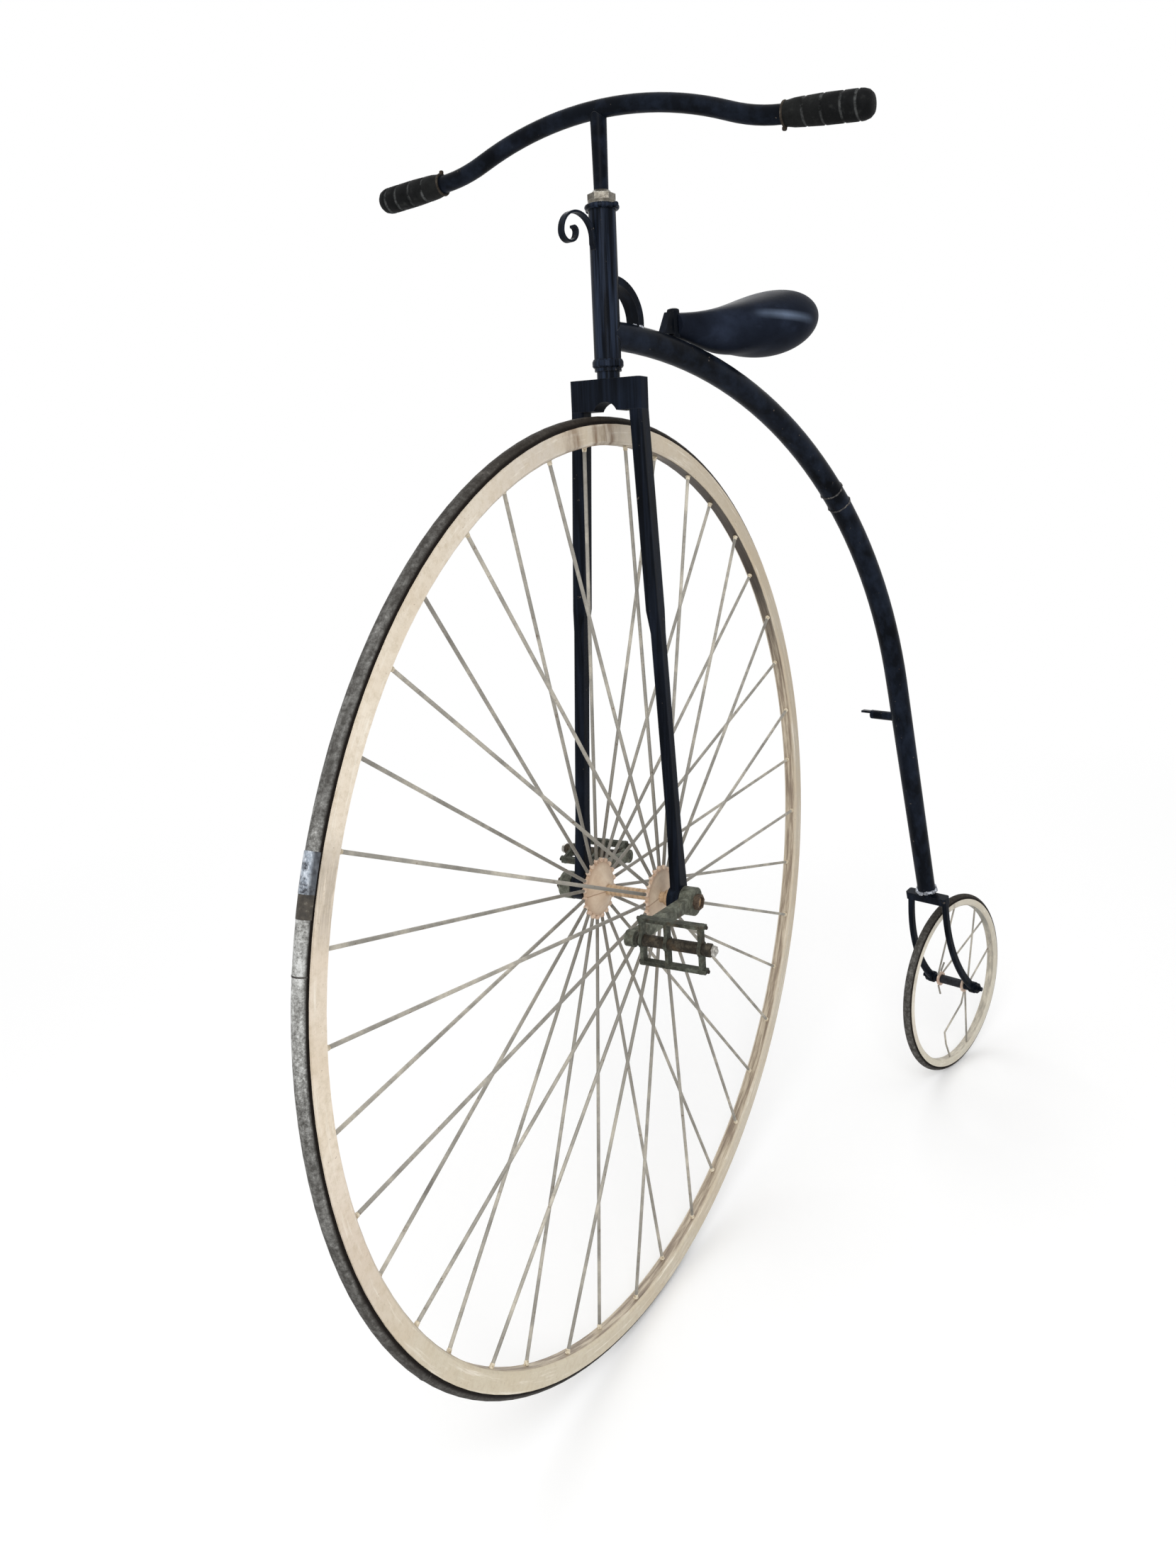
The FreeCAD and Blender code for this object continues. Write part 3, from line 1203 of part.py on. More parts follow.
# the left wires start at this angle from the top, the right ones lie halfway between them
make_front_spokes("left", -1, "spoke_set_angle")
make_front_spokes("right", 1, "spoke_set_angle - 180 / spokes_a_side")
for side_name, side in SIDES:
    make_hub_flange(side_name, side)
    make_crank(side_name, side)
    make_fork_leg(side_name, side)
    make_grip(side_name, side)
    make_rear_leg(side_name, side)
make_pedal("left", -1, "0")
make_pedal("right", 1, "75")
make_front_axle()
make_nuts("crank_nuts", CRANK_END, "nut_width", "nut_across", "axle_radius + running_fit", steered=True)
make_fork_crown()
make_steerer()
make_head_tube()
make_cap_ring()
make_lock_nut()
make_stem()
make_handlebar()
make_scroll()
make_brace()
make_backbone()
make_step_peg()
make_saddle()
make_saddle_bracket()
make_saddle_bolt()
make_rear_crown()
make_tyre("rear_tyre", "rear_radius", "rear_tyre_section", **REAR_PLACE)
make_rim("rear_rim", REAR_RIM_TOP, REAR_RIM_FOOT, "rear_rim_width", "rear_tyre_section",
         "(rear_radius - rear_tyre_section / 2)", **REAR_PLACE)
make_rear_axle()
make_rear_hub()
make_rear_spokes()
make_nuts("rear_axle_nuts", "(rear_eye_inset + rear_eye_width)", "rear_nut_width", "rear_nut_across",
          "rear_axle_radius + running_fit", **REAR_PLACE)

doc.recompute()

failed = [item.Name for item in doc.Objects if {"Invalid", "Error"} & set(item.State)]
bodies = [item for item in doc.Objects if item.TypeId == "PartDesign::Body"]
for body in bodies:
    if body.Shape.isNull() or not body.Shape.isValid() or not body.Shape.Solids:
        failed.append(body.Name)
if failed:
    raise RuntimeError("these did not build: " + ", ".join(sorted(set(failed))))

os.makedirs("parts", exist_ok=True)
for body in bodies:
    body.Shape.exportStep(f"parts/{body.Name}.step")
    print(f"{body.Name}: {len(body.Shape.Solids)} solid(s), {body.Shape.Volume / 1000:.1f} cm3")
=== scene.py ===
import json
import math

import bpy
from mathutils import Matrix, Vector


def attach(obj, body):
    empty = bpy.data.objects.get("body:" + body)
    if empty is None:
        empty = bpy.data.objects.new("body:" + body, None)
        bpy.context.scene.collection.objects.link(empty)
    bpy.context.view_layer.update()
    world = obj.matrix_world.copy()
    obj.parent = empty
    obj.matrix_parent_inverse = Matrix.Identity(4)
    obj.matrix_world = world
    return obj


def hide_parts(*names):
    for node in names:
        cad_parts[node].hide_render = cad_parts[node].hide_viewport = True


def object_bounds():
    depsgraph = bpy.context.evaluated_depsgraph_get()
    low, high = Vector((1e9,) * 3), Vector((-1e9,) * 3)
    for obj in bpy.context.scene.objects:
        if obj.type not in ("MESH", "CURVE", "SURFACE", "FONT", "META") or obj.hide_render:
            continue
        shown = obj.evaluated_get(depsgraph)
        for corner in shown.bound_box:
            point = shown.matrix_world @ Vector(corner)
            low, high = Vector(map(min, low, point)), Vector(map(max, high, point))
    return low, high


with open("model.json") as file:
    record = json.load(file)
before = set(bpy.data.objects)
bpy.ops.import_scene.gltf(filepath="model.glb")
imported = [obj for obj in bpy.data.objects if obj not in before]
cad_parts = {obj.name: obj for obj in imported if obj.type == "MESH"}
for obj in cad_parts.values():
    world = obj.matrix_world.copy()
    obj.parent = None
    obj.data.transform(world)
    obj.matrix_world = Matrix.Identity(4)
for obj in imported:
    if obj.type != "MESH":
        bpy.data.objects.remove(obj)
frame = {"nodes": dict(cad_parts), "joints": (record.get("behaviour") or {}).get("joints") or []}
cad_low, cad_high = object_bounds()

# ---------------------------------------------------------------- the room and the camera
# A pale floor under the wheels and a pale room round it, with a large soft lamp high on the
# left, a weaker one behind and a small one in front, lower down. The camera stands just under
# the saddle's height, ahead of the bicycle and to its left, and looks a little down.

scene = bpy.context.scene
scene.view_settings.view_transform = "Standard"


def put(finish, kind, inputs=None, **settings):
    """One more node in a finish, with its inputs joined or set."""
    made = finish.node_tree.nodes.new(kind)
    for name, setting in settings.items():
        setattr(made, name, setting)
    for name, given in (inputs or {}).items():
        if isinstance(given, bpy.types.NodeSocket):
            finish.node_tree.links.new(given, made.inputs[name])
        else:
            made.inputs[name].default_value = given
    return made


def sums(finish, first, second, operation="MULTIPLY"):
    return put(finish, "ShaderNodeMath", {0: first, 1: second}, operation=operation).outputs[0]


def between(finish, given, low, high, start_at=0.0, end_at=1.0):
    """Nothing up to the low level and all from the high one, or any other two amounts."""
    return put(finish, "ShaderNodeMapRange", {
        "Value": given, "From Min": low, "From Max": high, "To Min": start_at, "To Max": end_at}).outputs[0]


def new_finish(name):
    finish = bpy.data.materials.new(name)
    finish.use_nodes = True
    finish.node_tree.nodes.clear()
    return finish


all_white = (1.0, 1.0, 1.0, 1.0)
room = bpy.data.worlds.new("pale_room")
room.use_nodes = True
room.node_tree.nodes.clear()
ray = put(room, "ShaderNodeLightPath")
seen = sums(room, ray.outputs["Is Camera Ray"], ray.outputs["Is Glossy Ray"], "MAXIMUM")
seen = sums(room, seen, ray.outputs["Is Transmission Ray"], "MAXIMUM")
soft = put(room, "ShaderNodeBackground", {"Color": all_white, "Strength": 0.72})
white = put(room, "ShaderNodeBackground", {"Color": all_white, "Strength": 1.0})
either = put(room, "ShaderNodeMixShader", {0: seen, 1: soft.outputs[0], 2: white.outputs[0]})
put(room, "ShaderNodeOutputWorld", {"Surface": either.outputs[0]})
scene.world = room

floor_radius = 6.0
floor_drop = 0.0005
fade_from, fade_to = 1.2, 3.2
floor_finish = new_finish("pale_floor")
spot = put(floor_finish, "ShaderNodeTexCoord").outputs["Object"]
reach = put(floor_finish, "ShaderNodeVectorMath", {0: spot}, operation="LENGTH").outputs["Value"]
to_camera = put(floor_finish, "ShaderNodeLightPath").outputs["Is Camera Ray"]
fade = sums(floor_finish, between(floor_finish, reach, fade_from, fade_to), to_camera)
dull = put(floor_finish, "ShaderNodeBsdfDiffuse", {"Color": (0.9, 0.9, 0.9, 1.0)})
glow = sums(floor_finish, to_camera, 0.13)
glow = put(floor_finish, "ShaderNodeEmission", {"Color": all_white, "Strength": glow})
dull = put(floor_finish, "ShaderNodeAddShader", {0: dull.outputs[0], 1: glow.outputs[0]})
bright = put(floor_finish, "ShaderNodeEmission", {"Color": all_white, "Strength": 1.0})
ground = put(floor_finish, "ShaderNodeMixShader", {0: fade, 1: dull.outputs[0], 2: bright.outputs[0]})
put(floor_finish, "ShaderNodeOutputMaterial", {"Surface": ground.outputs[0]})

bpy.ops.object.select_all(action="DESELECT")
bpy.ops.mesh.primitive_circle_add(
    vertices=96, radius=floor_radius, fill_type="NGON", location=(0.0, 0.0, cad_low.z - floor_drop))
floor = bpy.context.object
floor.name = "floor"
floor.data.materials.append(floor_finish)


def hang_lamp(name, place, aim, size, power):
    """A square soft lamp at a place, facing a point."""
    lamp = bpy.data.lights.new(name, "AREA")
    lamp.size = size
    lamp.energy = power
    hung = bpy.data.objects.new(name, lamp)
    scene.collection.objects.link(hung)
    hung.location = place
    hung.rotation_mode = "QUATERNION"
    hung.rotation_quaternion = (Vector(aim) - Vector(place)).to_track_quat("-Z", "Y")


machine_middle = (-0.1, 0.0, -0.6)
hang_lamp("key_lamp", (-3.2, -2.4, 2.6), machine_middle, 2.4, 87.0)
hang_lamp("back_lamp", (2.6, 3.0, 2.0), machine_middle, 2.4, 40.0)
hang_lamp("low_lamp", (-2.4, -2.0, 0.5), (-0.3, 0.0, 0.0), 0.6, 9.0)

camera_place = (-1.4664, -1.1528, -0.2012)
turn, rise, roll = (math.radians(angle) for angle in (-45.66, 12.59, -4.24))
back = Vector((math.sin(turn) * math.cos(rise), -math.cos(turn) * math.cos(rise), math.sin(rise)))
level = Vector((math.cos(turn), math.sin(turn), 0.0))
over_it = back.cross(level)
side = level * math.cos(roll) + over_it * math.sin(roll)
head = over_it * math.cos(roll) - level * math.sin(roll)
camera = bpy.data.objects.new("camera", bpy.data.cameras.new("camera"))
scene.collection.objects.link(camera)
camera.matrix_world = Matrix.Translation(camera_place) @ Matrix((side, head, back)).transposed().to_4x4()
camera.data.sensor_width = 36.0
camera.data.lens = 28.045
camera.data.shift_x = -0.03345
camera.data.shift_y = -0.03996
camera.data.clip_start = 0.02
scene.camera = camera

# ---------------------------------------------------------------- driving wheel: tyre
# A round cord of solid rubber glued into the trough of the rim. Its tread has worn pale and
# chalky in front and is still black up by the crown; beside the rim it carries painted shade.

steer = frame["joints"][0]
front_hub = Vector(steer["pos_m"])
turned_by = -math.radians(sum(steer["range_deg"]) / 2)
rake = Matrix.Rotation(math.atan2(steer["axis"][0], steer["axis"][2]), 4, "Y")
straight = Matrix.Translation(front_hub)
wheel_place = straight @ Matrix.Rotation(turned_by, 4, Vector(steer["axis"]))
fork_place = wheel_place @ rake
head_place = straight @ rake

tread_radius, tyre_thick = 0.647, 0.018


def shade(red, green, blue):
    """A colour as the shaders take it, from its plain 0 to 255 values."""
    parts = [part / 255 for part in (red, green, blue)]
    parts = [part / 12.92 if part < 0.04 else ((part + 0.055) / 1.055) ** 2.4 for part in parts]
    return (*parts, 1.0)


def dress(finish, *names):
    """Give nodes of the frame their finish."""
    for name in names:
        for seat in frame["nodes"][name].material_slots:
            seat.material = finish


def spots(finish, place=None):
    """Where on the piece each point lies; with a place, measured in that place's directions."""
    where = put(finish, "ShaderNodeTexCoord").outputs["Object"]
    if place is None:
        return where
    return put(finish, "ShaderNodeMapping", {
        "Vector": where, "Location": place.translation, "Rotation": place.to_euler()},
        vector_type="TEXTURE").outputs[0]


def clouds(finish, where, scale, seed=0.0, detail=5.0, rough=0.6, stretch=(1.0, 1.0, 1.0)):
    """An uneven pattern, so many clouds to the metre, drawn out along some direction."""
    if stretch != (1.0, 1.0, 1.0):
        where = put(finish, "ShaderNodeVectorMath", {0: where, 1: stretch}, operation="MULTIPLY").outputs[0]
    return put(finish, "ShaderNodeTexNoise", {
        "Vector": where, "W": seed, "Scale": scale, "Detail": detail, "Roughness": rough},
        noise_dimensions="4D").outputs[0]


def ramp(finish, given, stops):
    made = put(finish, "ShaderNodeValToRGB", {"Fac": given})
    scale = made.color_ramp
    while len(scale.elements) < len(stops):
        scale.elements.new(0.5)
    for stop, (level_of, colour) in zip(scale.elements, stops):
        stop.position = level_of
        stop.color = colour
    return made.outputs["Color"]


def tones(finish, given, *stops):
    """A colour for each level: the level, then red, green and blue from 0 to 255."""
    return ramp(finish, given, [(stop[0], shade(*stop[1:])) for stop in stops])


def amounts(finish, given, *stops):
    """An amount for each level: pairs of level and amount."""
    return ramp(finish, given, [(level_of, (amount, amount, amount, 1.0)) for level_of, amount in stops])


def coat(finish, amount, under, upper):
    """One colour laid over another where the amount says."""
    return put(finish, "ShaderNodeMix", {0: amount, 6: under, 7: upper}, data_type="RGBA").outputs[2]


def lay(finish, colour, roughness, grain=None, depth=0.0003, strength=0.6, **fixed):
    """The surface itself: colour, roughness and a grain raised by a depth in metres."""
    inputs = {"Base Color": colour, "Roughness": roughness}
    if grain is not None:
        inputs["Normal"] = put(finish, "ShaderNodeBump", {
            "Height": grain, "Distance": depth, "Strength": strength}).outputs[0]
    inputs.update({name.replace("_", " "): given for name, given in fixed.items()})
    surface = put(finish, "ShaderNodeBsdfPrincipled", inputs)
    put(finish, "ShaderNodeOutputMaterial", {"Surface": surface.outputs[0]})
    return finish


def away(finish, where, directions):
    """How far off the middle, counting only the directions that are 1."""
    flat = put(finish, "ShaderNodeVectorMath", {0: where, 1: directions}, operation="MULTIPLY").outputs[0]
    return put(finish, "ShaderNodeVectorMath", {0: flat}, operation="LENGTH").outputs["Value"]


# down, forward and along the axle from a wheel's middle; the pattern's own seam is at the top
down_forward = Matrix(((0, -1, 0, 0), (0, 0, 1, 0), (-1, 0, 0, 0), (0, 0, 0, 1)))


def round_the_wheel(finish, place):
    """Places, turns (0 and 1 at the top, half at the foot), radius, and places unrolled flat."""
    where = spots(finish, place @ down_forward)
    angle = put(finish, "ShaderNodeTexGradient", {"Vector": where}, gradient_type="RADIAL").outputs["Fac"]
    radius = away(finish, where, (1.0, 1.0, 0.0))
    across = put(finish, "ShaderNodeSeparateXYZ", {0: where}).outputs[2]
    unrolled = put(finish, "ShaderNodeCombineXYZ", {0: sums(finish, angle, 4.0), 1: radius, 2: across})
    return where, angle, radius, unrolled.outputs[0]


def rubber_tyre(name, place, tread, thick, wear):
    """Worn grey rubber with painted shade along the rim; wear gives how pale it is round the wheel."""
    finish = new_finish(name)
    where, angle, radius, along = round_the_wheel(finish, place)
    speckle = clouds(finish, where, 420.0, 1.0, 6.0, 0.75)
    mottle = clouds(finish, where, 130.0, 2.0, 6.0, 0.78)
    streak = clouds(finish, along, 150.0, 3.0, 4.0, 0.65, (0.16, 1.0, 1.0))
    cuts = clouds(finish, where, 160.0, 3.0, 3.0, 0.5)
    pale = sums(finish, amounts(finish, angle, *wear), between(finish, speckle, 0.3, 0.6, 0.75, 1.15))
    chalk = sums(finish, between(finish, mottle, 0.24, 0.76), between(finish, streak, 0.34, 0.68, 0.6, 1.25))
    chalk = sums(finish, chalk, between(finish, pale, 0.7, 0.95, 0.0, 0.38), "ADD")
    worn = tones(finish, chalk,
                 (0.0, 62, 60, 58), (0.35, 98, 97, 94), (0.7, 156, 156, 153), (1.0, 206, 207, 205))
    black = tones(finish, chalk, (0.0, 28, 24, 20), (0.6, 46, 40, 34), (1.0, 80, 73, 64))
    # painted shade: darker down the flank towards the rim, and a dark band where tyre meets rim
    flank_shade = between(finish, radius, tread - 0.65 * thick, tread - 0.2 * thick, 0.12, 1.0)
    colour = coat(finish, sums(finish, pale, flank_shade), black, worn)
    foot = between(finish, radius, tread - 0.4 * thick, tread - 0.25 * thick)
    colour = coat(finish, foot, shade(20, 15, 12), colour)
    grain = sums(finish, sums(finish, speckle, streak, "ADD"), between(finish, cuts, 0.42, 0.5), "ADD")
    return lay(finish, colour, between(finish, mottle, 0.3, 0.7, 0.6, 0.85), grain, 0.0005, 0.7, IOR=1.2)


front_rubber = rubber_tyre("front_rubber", wheel_place, tread_radius, tyre_thick, [
    (0.0, 0.02), (0.2, 0.2), (0.4, 0.22), (0.5, 0.2), (0.56, 0.22), (0.63, 0.24),
    (0.7, 0.42), (0.75, 0.72), (0.79, 0.95), (0.83, 0.62), (0.9, 0.4), (0.94, 0.12), (1.0, 0.0)])
dress(front_rubber, "front_tyre")

# ---------------------------------------------------------------- tape and joints on the tyre
# A turn of tape covers a split in the rubber a little above the axle's height in front, with a
# smear of its glue below; its pale blue white face is painted reflection, its darker sides painted
# shade. Two thin rings of cement show where the cord was joined.

cord_middle = tread_radius - tyre_thick / 2
tape_height, tape_spread = 23.7, 3.6
glue_height, glue_spread = 20.4, 2.4
cement_spread = 0.14
cement_heights = {"tyre_joint_front": 13.3, "tyre_joint_low": -35.6}


def start():
    """Nothing else is picked while a new piece is begun."""
    if bpy.context.object and bpy.context.object.mode != "OBJECT":
        bpy.ops.object.mode_set(mode="OBJECT")
    bpy.ops.object.select_all(action="DESELECT")


def apply(kind, **settings):
    """Put a modifier on the piece in hand and make it part of the mesh."""
    made = bpy.context.object.modifiers.new(kind.lower(), kind)
    for name, setting in settings.items():
        setattr(made, name, setting)
    bpy.ops.object.modifier_apply(modifier=made.name)


def close_up(name, finish, body, place=None, smooth=40.0):
    """Finish the piece in hand: faces outwards, smooth, set in its place, painted and carried."""
    if bpy.context.object.mode != "EDIT":
        bpy.ops.object.mode_set(mode="EDIT")
    bpy.ops.mesh.select_all(action="SELECT")
    bpy.ops.mesh.remove_doubles(threshold=0.000002)
    bpy.ops.mesh.normals_make_consistent(inside=False)
    bpy.ops.object.mode_set(mode="OBJECT")
    bpy.ops.object.transform_apply()
    bpy.ops.object.shade_smooth_by_angle(angle=math.radians(smooth))
    piece = bpy.context.object
    piece.name = piece.data.name = name
    if place is not None:
        piece.data.transform(place)
    piece.data.materials.clear()
    piece.data.materials.append(finish)
    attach(piece, body)
    return piece


def pick(test, kind="verts"):
    """Pick just those corners or faces of the piece in hand that pass a test on their place."""
    bpy.ops.mesh.select_all(action="DESELECT")
    bpy.ops.mesh.select_mode(type="VERT" if kind == "verts" else "FACE")
    bpy.ops.object.mode_set(mode="OBJECT")
    mesh = bpy.context.object.data
    for item in mesh.vertices if kind == "verts" else mesh.polygons:
        item.select = test(item.co if kind == "verts" else item.center)
    bpy.ops.object.mode_set(mode="EDIT")


def ring_on_tyre(name, finish, height, spread, lift, wall):
    """A sleeve over the tyre's tread, from rim edge to rim edge, for a few degrees of its round."""
    start()
    angle = math.radians(height)
    at = Vector((-cord_middle * math.cos(angle), 0.0, cord_middle * math.sin(angle)))
    bpy.ops.mesh.primitive_circle_add(
        vertices=40, radius=tyre_thick / 2 + lift, location=at, rotation=(0.0, angle, 0.0))
    bpy.ops.object.transform_apply()
    bpy.ops.object.mode_set(mode="EDIT")
    pick(lambda corner: corner.length < cord_middle + 0.0005)
    bpy.ops.mesh.delete(type="VERT")
    bpy.ops.mesh.select_all(action="SELECT")
    bpy.ops.mesh.spin(steps=max(2, round(spread * 3)), angle=math.radians(spread),
                      center=(0.0, 0.0, 0.0), axis=(0.0, 1.0, 0.0))
    bpy.ops.mesh.select_all(action="SELECT")
    bpy.ops.mesh.remove_doubles(threshold=0.00001)
    bpy.ops.mesh.normals_make_consistent(inside=False)
    bpy.ops.object.mode_set(mode="OBJECT")
    apply("SOLIDIFY", thickness=wall, offset=0.0)
    return close_up(name, finish, "front_wheel", wheel_place)


def off_middle(finish, where, axis):
    """How far off the middle on one axis: 0 along, 1 across or 2 up."""
    return sums(finish, put(finish, "ShaderNodeSeparateXYZ", {0: where}).outputs[axis], 0.0, "ABSOLUTE")


tape = new_finish("old_tape")
where = spots(tape, wheel_place)
flecks = clouds(tape, where, 230.0, 4.0, 5.0, 0.7, (1.5, 1.5, 0.4))
folds = clouds(tape, where, 70.0, 5.0, 5.0, 0.7)
# painted reflection: the tape's face is pale blue white; painted shade darkens its sides
tape_side_shade = between(tape, off_middle(tape, where, 1), 0.0045, 0.0075, 0.0, 0.85)
colour = tones(tape, between(tape, flecks, 0.32, 0.68),
               (0.0, 92, 100, 112), (0.4, 150, 160, 172), (1.0, 226, 232, 240))
colour = coat(tape, between(tape, folds, 0.52, 0.4), colour, shade(46, 50, 58))
colour = coat(tape, tape_side_shade, colour, shade(30, 32, 37))
lay(tape, colour, between(tape, flecks, 0.3, 0.7, 0.35, 0.6), sums(tape, folds, flecks, "ADD"), 0.0008)
ring_on_tyre("tyre_tape", tape, tape_height, tape_spread, lift=0.0004, wall=0.0005)

glue = new_finish("tape_glue")
gum = clouds(glue, spots(glue), 180.0, 7.0)
lay(glue, tones(glue, gum, (0.3, 30, 27, 24), (0.58, 66, 60, 52), (0.78, 132, 128, 116)), 0.7, gum)
ring_on_tyre("tape_glue", glue, glue_height, glue_spread, lift=0.0002, wall=0.0003)

cement = new_finish("tyre_cement")
crumbs = clouds(cement, spots(cement), 500.0, 5.0)
lay(cement, tones(cement, crumbs, (0.3, 34, 30, 28), (0.7, 82, 78, 74)), 0.85, crumbs)
for joint_name, joint_height in cement_heights.items():
    ring_on_tyre(joint_name, cement, joint_height, cement_spread, lift=0.00015, wall=0.0003)

# ---------------------------------------------------------------- driving wheel: rim
# Rolled steel with flat sides and a trough for the tyre, under old cream enamel with painted light,
# bright in front and darker behind, and painted shade on its inner face. A short brass nipple,
# painted over, screws each wire into it.

rim_inside = 0.611
wires_a_side = 20
first_wire = {-1: 6.0, 1: -3.0}
wire_foot, wire_head = 0.0383, 0.6107
foot_aside, head_aside = 0.0485, 0.003
sides = (("left", -1), ("right", 1))


def worn_edges(finish, width, low=0.08, high=0.45):
    """Strong along sharp edges within that width, nothing on the flats."""
    eased = put(finish, "ShaderNodeBevel", {"Radius": width}, samples=6).outputs[0]
    flat = put(finish, "ShaderNodeNewGeometry").outputs["Normal"]
    alike = put(finish, "ShaderNodeVectorMath", {0: eased, 1: flat}, operation="DOT_PRODUCT").outputs["Value"]
    return between(finish, sums(finish, 1.0, alike, "SUBTRACT"), low, high)


def band(finish, given, none_below, all_from, all_to, none_above):
    """All between two levels, and nothing well below or above them."""
    rising = between(finish, given, none_below, all_from)
    return sums(finish, rising, between(finish, given, none_above, all_to))


def cream_enamel(name, place, inner_radius, stains_and_shade, greyed):
    """Aged cream paint, oily by the fork; painted light, bright in front and darker behind, and painted shade
    inside.
    """
    finish = new_finish(name)
    where, angle, radius, along = round_the_wheel(finish, place)
    grime = clouds(finish, along, 6.0, 1.0, 6.0, 0.7)
    streak = clouds(finish, along, 30.0, 2.0, 6.0, 0.7, (0.35, 6.0, 6.0))
    drips = clouds(finish, along, 46.0, 5.0, 4.0, 0.6, (1.0, 0.3, 0.3))
    fleck = clouds(finish, where, 240.0, 3.0, 4.0, 0.6)
    mottle = clouds(finish, where, 120.0, 6.0, 6.0, 0.78)
    # painted light round the wheel: brighter in front, darker behind and below
    colour = tones(
        finish, angle, (0.0, 214, 203, 186), (0.1, 200, 187, 165), (0.22, 190, 178, 158),
        (0.36, 206, 196, 178), (0.5, 208, 198, 178), (0.6, 212, 201, 177), (0.66, 212, 201, 179),
        (0.71, 222, 208, 192), (0.75, 238, 225, 206), (0.79, 230, 216, 198), (0.85, 239, 227, 208),
        (0.92, 225, 214, 197), (0.96, 209, 198, 183), (1.0, 206, 196, 178))
    colour = coat(finish, between(finish, grime, 0.46, 0.74, 0.0, 0.6), colour, shade(202, 180, 148))
    colour = coat(finish, between(finish, mottle, 0.46, 0.66, 0.0, 0.5), colour, shade(190, 174, 146))
    colour = coat(finish, between(finish, streak, 0.54, 0.66, 0.0, 0.6), colour, shade(250, 243, 230))
    # painted shade on the rim's inner face, darkest just behind the top, scaled by the stained amount
    inner_shade = tones(
        finish, streak, (0.3, 96, 80, 66), (0.46, 146, 130, 112), (0.56, 188, 174, 152), (0.7, 216, 204, 184))
    shade_behind_top = sums(finish, band(finish, angle, 0.02, 0.05, 0.15, 0.21), 0.92 * stains_and_shade)
    inner_shade = coat(finish, shade_behind_top, inner_shade, shade(36, 25, 16))
    inner = between(finish, radius, inner_radius + 0.0012, inner_radius + 0.0002)
    colour = coat(finish, inner, colour, inner_shade)
    from_foot = sums(finish, sums(finish, angle, 0.5, "SUBTRACT"), 0.0, "ABSOLUTE")
    oil = band(finish, angle, 0.972, 0.976, 0.982, 0.986)
    oil = sums(finish, oil, between(finish, from_foot, 0.489, 0.493), "MAXIMUM")
    oil = sums(finish, oil, between(finish, drips, 0.38, 0.62))
    colour = coat(finish, sums(finish, oil, 0.85 * stains_and_shade), colour, shade(116, 88, 62))
    smudge = sums(finish, band(finish, from_foot, 0.29, 0.3, 0.312, 0.322), between(finish, angle, 0.5, 0.52))
    smudge = sums(finish, smudge, between(finish, streak, 0.38, 0.52))
    colour = coat(finish, sums(finish, smudge, 0.5 * stains_and_shade), colour, shade(146, 134, 118))
    colour = coat(finish, between(finish, fleck, 0.66, 0.74, 0.0, 0.75), colour, shade(122, 92, 62))
    edge = sums(finish, worn_edges(finish, 0.0009), between(finish, grime, 0.35, 0.6))
    colour = coat(finish, edge, colour, shade(150, 118, 84))
    colour = coat(finish, greyed, colour, shade(206, 208, 198))
    return lay(finish, colour, between(finish, grime, 0.3, 0.7, 0.42, 0.62), fleck, 0.0003, 0.5)


dress(cream_enamel("front_cream", wheel_place, rim_inside, 1.0, 0.0), "front_rim")


def turn_up(rings, corners=16):
    """A turned piece on its own middle line, drawn up ring by ring: pairs of height and radius."""
    start()
    height, width = rings[0]
    bpy.ops.mesh.primitive_circle_add(
        vertices=corners, radius=width, fill_type="NGON", location=(0.0, 0.0, height))
    bpy.ops.object.transform_apply()
    bpy.ops.object.mode_set(mode="EDIT")
    bpy.ops.mesh.select_all(action="SELECT")
    for next_height, next_width in rings[1:]:
        bpy.ops.mesh.extrude_region_move(TRANSFORM_OT_translate={"value": (0.0, 0.0, next_height - height)})
        grow = next_width / width
        bpy.ops.transform.resize(value=(grow, grow, 1.0), center_override=(0.0, 0.0, next_height))
        height, width = next_height, next_width
    bpy.ops.object.mode_set(mode="OBJECT")
    return bpy.context.object


def join_up(pieces):
    """Make one piece of several."""
    start()
    for piece in pieces:
        piece.select_set(True)
    bpy.context.view_layer.objects.active = pieces[0]
    bpy.ops.object.join()


def set_round(made, side, aside, out):
    """Copy the piece in hand to every wire on one side, leaning with it, and join the copies."""
    lean = math.atan2(side * (foot_aside - head_aside), wire_head - wire_foot)
    copies = []
    for number in range(wires_a_side):
        angle = math.radians(first_wire[side] + 360 * number / wires_a_side)
        copy = made.copy()
        copy.data = made.data.copy()
        scene.collection.objects.link(copy)
        copy.data.transform(Matrix.Rotation(angle, 4, "Y") @ Matrix.Translation((0.0, side * aside, out))
                            @ Matrix.Rotation(lean, 4, "X"))
        copies.append(copy)
    bpy.data.objects.remove(made)
    join_up(copies)


nipple_finish = new_finish("painted_nipple")
dabs = clouds(nipple_finish, spots(nipple_finish), 300.0, 6.0)
lay(nipple_finish, tones(nipple_finish, dabs, (0.35, 168, 148, 116), (0.6, 232, 222, 200)),
    between(nipple_finish, dabs, 0.3, 0.7, 0.4, 0.7), dabs)
nipple_rings = [(-0.006, 0.00245), (-0.0052, 0.0029), (-0.0012, 0.0031), (-0.0008, 0.0038), (0.0, 0.0038)]
for side_name, side in sides:
    set_round(turn_up(nipple_rings, 12), side, head_aside, wire_head)
    close_up(f"rim_nipples_{side_name}", nipple_finish, "front_wheel", wheel_place)

# ---------------------------------------------------------------- driving wheel: wires
# Forty straight steel wires, painted with the rim. The paint is left in patches; between them
# the wire has dulled to grey brown and rusts in spots.


